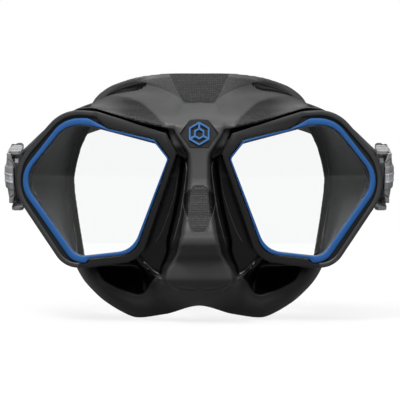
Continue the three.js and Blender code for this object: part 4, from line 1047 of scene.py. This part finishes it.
def shell_piece(side):
    """The buckle's outer shell, with a slit at each end."""
    part = skin([shell_section(*row) for row in both_ways(SHELL_ROWS)])
    obj = outward(new_object(f"buckle_shell_{side}", *part))
    slits = []
    for sign in (1, -1):
        a, b = (np.array((x, z * sign)) for x, z in (SLIT_FROM, SLIT_TO))
        along = (b - a) / np.linalg.norm(b - a)
        wide = SLIT_HALF * np.array((-along[1], along[0]))
        corners = [a - along * 2 - wide, b + along - wide, b + along + wide, a - along * 2 + wide]
        slits.append(prism_y([(x, z + SLIT_RISE) for x, z in corners], SHELL_FRONT - 3, SLIT_REAR))
    combine(obj, slits)
    placed(obj, tilted(points_of(obj)), side)
    finish_piece(obj, BUCKLE_GREY, "harness", [f"buckle_cover_{side}"], 30.0)


def inlay_piece(side):
    """The light strip that runs round the front of the shell, with a raised border."""
    rings = []
    for z, sink in both_ways(INLAY_ROWS):
        plan = shell_section(z, 0, INLAY_LIFT)[2:8].copy()
        plan[-1][1] = INLAY_REAR
        d = np.gradient(plan[:, :2], axis=0)
        d /= np.linalg.norm(d, axis=1)[:, None]
        normal = np.stack([d[:, 1], -d[:, 0]], 1)
        outer, inner = plan.copy(), plan[::-1].copy()
        outer[:, :2] += normal * (INLAY_PROUD - sink)
        inner[:, :2] -= normal[::-1] * INLAY_DEPTH
        rings.append(np.concatenate([outer, inner]))
    vertices, faces = skin(rings)
    obj = new_object(f"inlay_strip_{side}", *on_side((tilted(vertices), faces), side))
    finish_piece(obj, INLAY, "harness", [f"cover_inlay_{side}"], 30.0)


def strap_path():
    """The band's middle line, from tail to tail round both rollers and behind the head."""
    side, tail = ROLLER_X - WRAP_RADIUS, ROLLER_X + WRAP_RADIUS
    rear = ROLLER_Y + STRAP_REACH
    points = [(tail, ROLLER_Y + STRAP_TAIL_LENGTH * (1 - t))
              for t in np.linspace(0, 1, STRAP_TAIL_STEPS, endpoint=False)]
    for k in range(STRAP_TURN_STEPS + 1):
        angle = -math.pi * k / STRAP_TURN_STEPS
        points.append((ROLLER_X + WRAP_RADIUS * math.cos(angle), ROLLER_Y + WRAP_RADIUS * math.sin(angle)))
    loop = [(side, ROLLER_Y), (side - STRAP_DRAW_IN, ROLLER_Y + STRAP_REACH * STRAP_BEND),
            (side - STRAP_DRAW_IN, rear), (0, rear)]
    points = np.array(points + [bezier(loop, t) for t in np.linspace(0, 1, STRAP_LOOP_STEPS)[1:]])
    return np.concatenate([points, points[:-1][::-1] * (-1, 1)])


def strap_profile(half, thick):
    """Rounded cross-section as (across the thickness, across the width) pairs."""
    r = min(STRAP_EDGE, thick * 0.9)
    points = []
    for right, up, start in ((1, 1, 0), (-1, 1, 90), (-1, -1, 180), (1, -1, 270)):
        for k in range(5):
            angle = math.radians(start + 90 * k / 4)
            points.append((right * (thick - r) + r * math.cos(angle), up * (half - r) + r * math.sin(angle)))
    return points


def strap_piece():
    """The band with its wider pad and the slot in it."""
    rear = ROLLER_Y + STRAP_REACH
    path = strap_path()
    d = np.gradient(path, axis=0)
    d /= np.linalg.norm(d, axis=1)[:, None]
    rings = []
    for (x, y), (dx, dy) in zip(path, d):
        fade = float(smooth(abs(x) / (STRAP_PAD_REACH * 0.6) - 1))
        share = 0 if y < rear - STRAP_PAD_DEPTH else 1 - fade
        half = (STRAP_WIDTH + (STRAP_PAD_WIDTH - STRAP_WIDTH) * share) / 2
        rings.append([(x + dy * u, y - dx * u, w) for u, w in strap_profile(half, STRAP_THICK / 2)])
    obj = outward(new_object("strap_band", *skin(rings)))
    tall, reach = STRAP_SLOT_HEIGHT / 2, (STRAP_SLOT_LENGTH - STRAP_SLOT_HEIGHT) / 2
    slot = [(sign * reach + tall * math.cos(a), tall * math.sin(a))
            for sign, start in ((1, -0.5), (-1, 0.5))
            for a in np.linspace(start * math.pi, (start + 1) * math.pi, SLOT_STEPS)]
    combine(obj, [prism_y(slot, rear - 40, rear + 20)])
    placed(obj, tilted(points_of(obj)), "right")
    finish_piece(obj, STRAP_RUBBER, "harness", ["strap"], 42.0)


for side in ("right", "left"):
    shell_piece(side)
    inlay_piece(side)
strap_piece()


# Camera, light and floor

# The part of the white background that glossy reflections show
GLOSSY_SHARE = 0.12
CAMERA_LENS, CAMERA_SENSOR = 120, 36
# Name, place, size and power. All lamps are turned to the middle of the mask
LAMPS = [
    ("key", (-0.3, -0.6, 0.75), (0.35, 0.35), 8.0), ("front", (0.1, -0.8, 0.6), (0.5, 0.3), 5.5),
    ("fill", (0.45, -0.6, 0.4), (0.4, 0.4), 0.6), ("top", (0, 0.05, 0.8), (0.8, 0.5), 3.0),
    ("behind", (0, 0.7, 0.35), (0.8, 0.5), 0.6),
]
SKY_COLOUR, SKY_STRENGTH, WHITE = (0.9, 0.93, 1, 1), 0.1, (1, 1, 1, 1)
FLOOR_CELLS, FLOOR_SIZE, FLOOR_BACK, FLOOR_GAP = 24, 1600.0, 300, 0.5
PAPER_LIT, PAPER_SEEN, PAPER_ROUGHNESS = (0.1, 0.1, 0.1, 1), (0.8, 0.8, 0.8, 1), 0.9
# The floor glows more away from the object, and keeps the object's shadow near it
GLOW_STRENGTH, GLOW_RANGE = 1.05, {"From Min": 0.1, "From Max": 0.4, "To Min": 0.75, "To Max": 1.0}


def seen_directly(tree):
    """1 for what the camera sees, also through the glass, a part of it in glossy reflections, else 0."""
    path = made(tree, "LightPath", "Is Camera Ray").node.outputs
    bounces = calculated(tree, "ADD", path["Diffuse Depth"], path["Glossy Depth"])
    first = calculated(tree, "LESS_THAN", bounces, 0.5)
    through = calculated(tree, "MULTIPLY", path["Is Transmission Ray"], first)
    seen = calculated(tree, "MAXIMUM", path["Is Camera Ray"], through)
    glossy = calculated(tree, "MULTIPLY", path["Is Glossy Ray"], GLOSSY_SHARE)
    return calculated(tree, "MAXIMUM", seen, glossy)


def camera_piece():
    data = bpy.data.cameras.new("camera")
    data.lens, data.sensor_width = CAMERA_LENS, CAMERA_SENSOR
    camera = linked("camera", data)
    camera.location = [c * MM for c in EYE]
    camera.rotation_euler = (math.radians(90), 0, 0)
    bpy.context.scene.camera = camera


def area_light(name, place, size, power):
    data = bpy.data.lights.new(name, "AREA")
    data.shape = "RECTANGLE"
    data.size, data.size_y = size
    data.energy = power
    light = linked(name, data)
    light.location = place
    light.rotation_euler = (Vector() - Vector(place)).to_track_quat("-Z", "Y").to_euler()


def backdrop():
    """A world that lights the object weakly and looks white."""
    world = bpy.data.worlds.new("world")
    bpy.context.scene.world = world
    world.use_nodes = True
    tree = world.node_tree
    lit = tree.nodes["Background"]
    feed(tree, lit, {"Color": SKY_COLOUR, "Strength": SKY_STRENGTH})
    white = made(tree, "Background", "Background", {"Color": WHITE})
    surface(tree, seen_directly(tree), lit.outputs["Background"], white)


def floor_piece():
    """A floor that looks white, and lights the object from below as a dark one would."""
    n, low = FLOOR_CELLS, cad_box[0][2] / MM - FLOOR_GAP
    vertices = [(FLOOR_SIZE * (k / n - 0.5), FLOOR_SIZE * (i / n - 0.5) + FLOOR_BACK, low)
                for i in range(n + 1) for k in range(n + 1)]
    corners = [i * (n + 1) + k for i in range(n) for k in range(n)]
    obj = new_object("floor", vertices, [(a, a + 1, a + n + 2, a + n + 1) for a in corners])
    mat, tree, shader, place = new_material("floor_white")
    seen = seen_directly(tree)
    feed(tree, shader, {"Roughness": PAPER_ROUGHNESS,
                        "Base Color": blended(tree, "RGBA", seen, PAPER_LIT, PAPER_SEEN)})
    away = made(tree, "VectorMath", "Value", {0: place}, operation="LENGTH")
    share = calculated(tree, "MULTIPLY", seen, ranged(tree, away, GLOW_RANGE))
    glow = made(tree, "Emission", "Emission", {"Strength": GLOW_STRENGTH})
    surface(tree, share, shader.outputs["BSDF"], glow)
    obj.data.materials.append(mat)


camera_piece()
for lamp in LAMPS:
    area_light(*lamp)
backdrop()
floor_piece()

bpy.context.scene.view_settings.view_transform = "Standard"
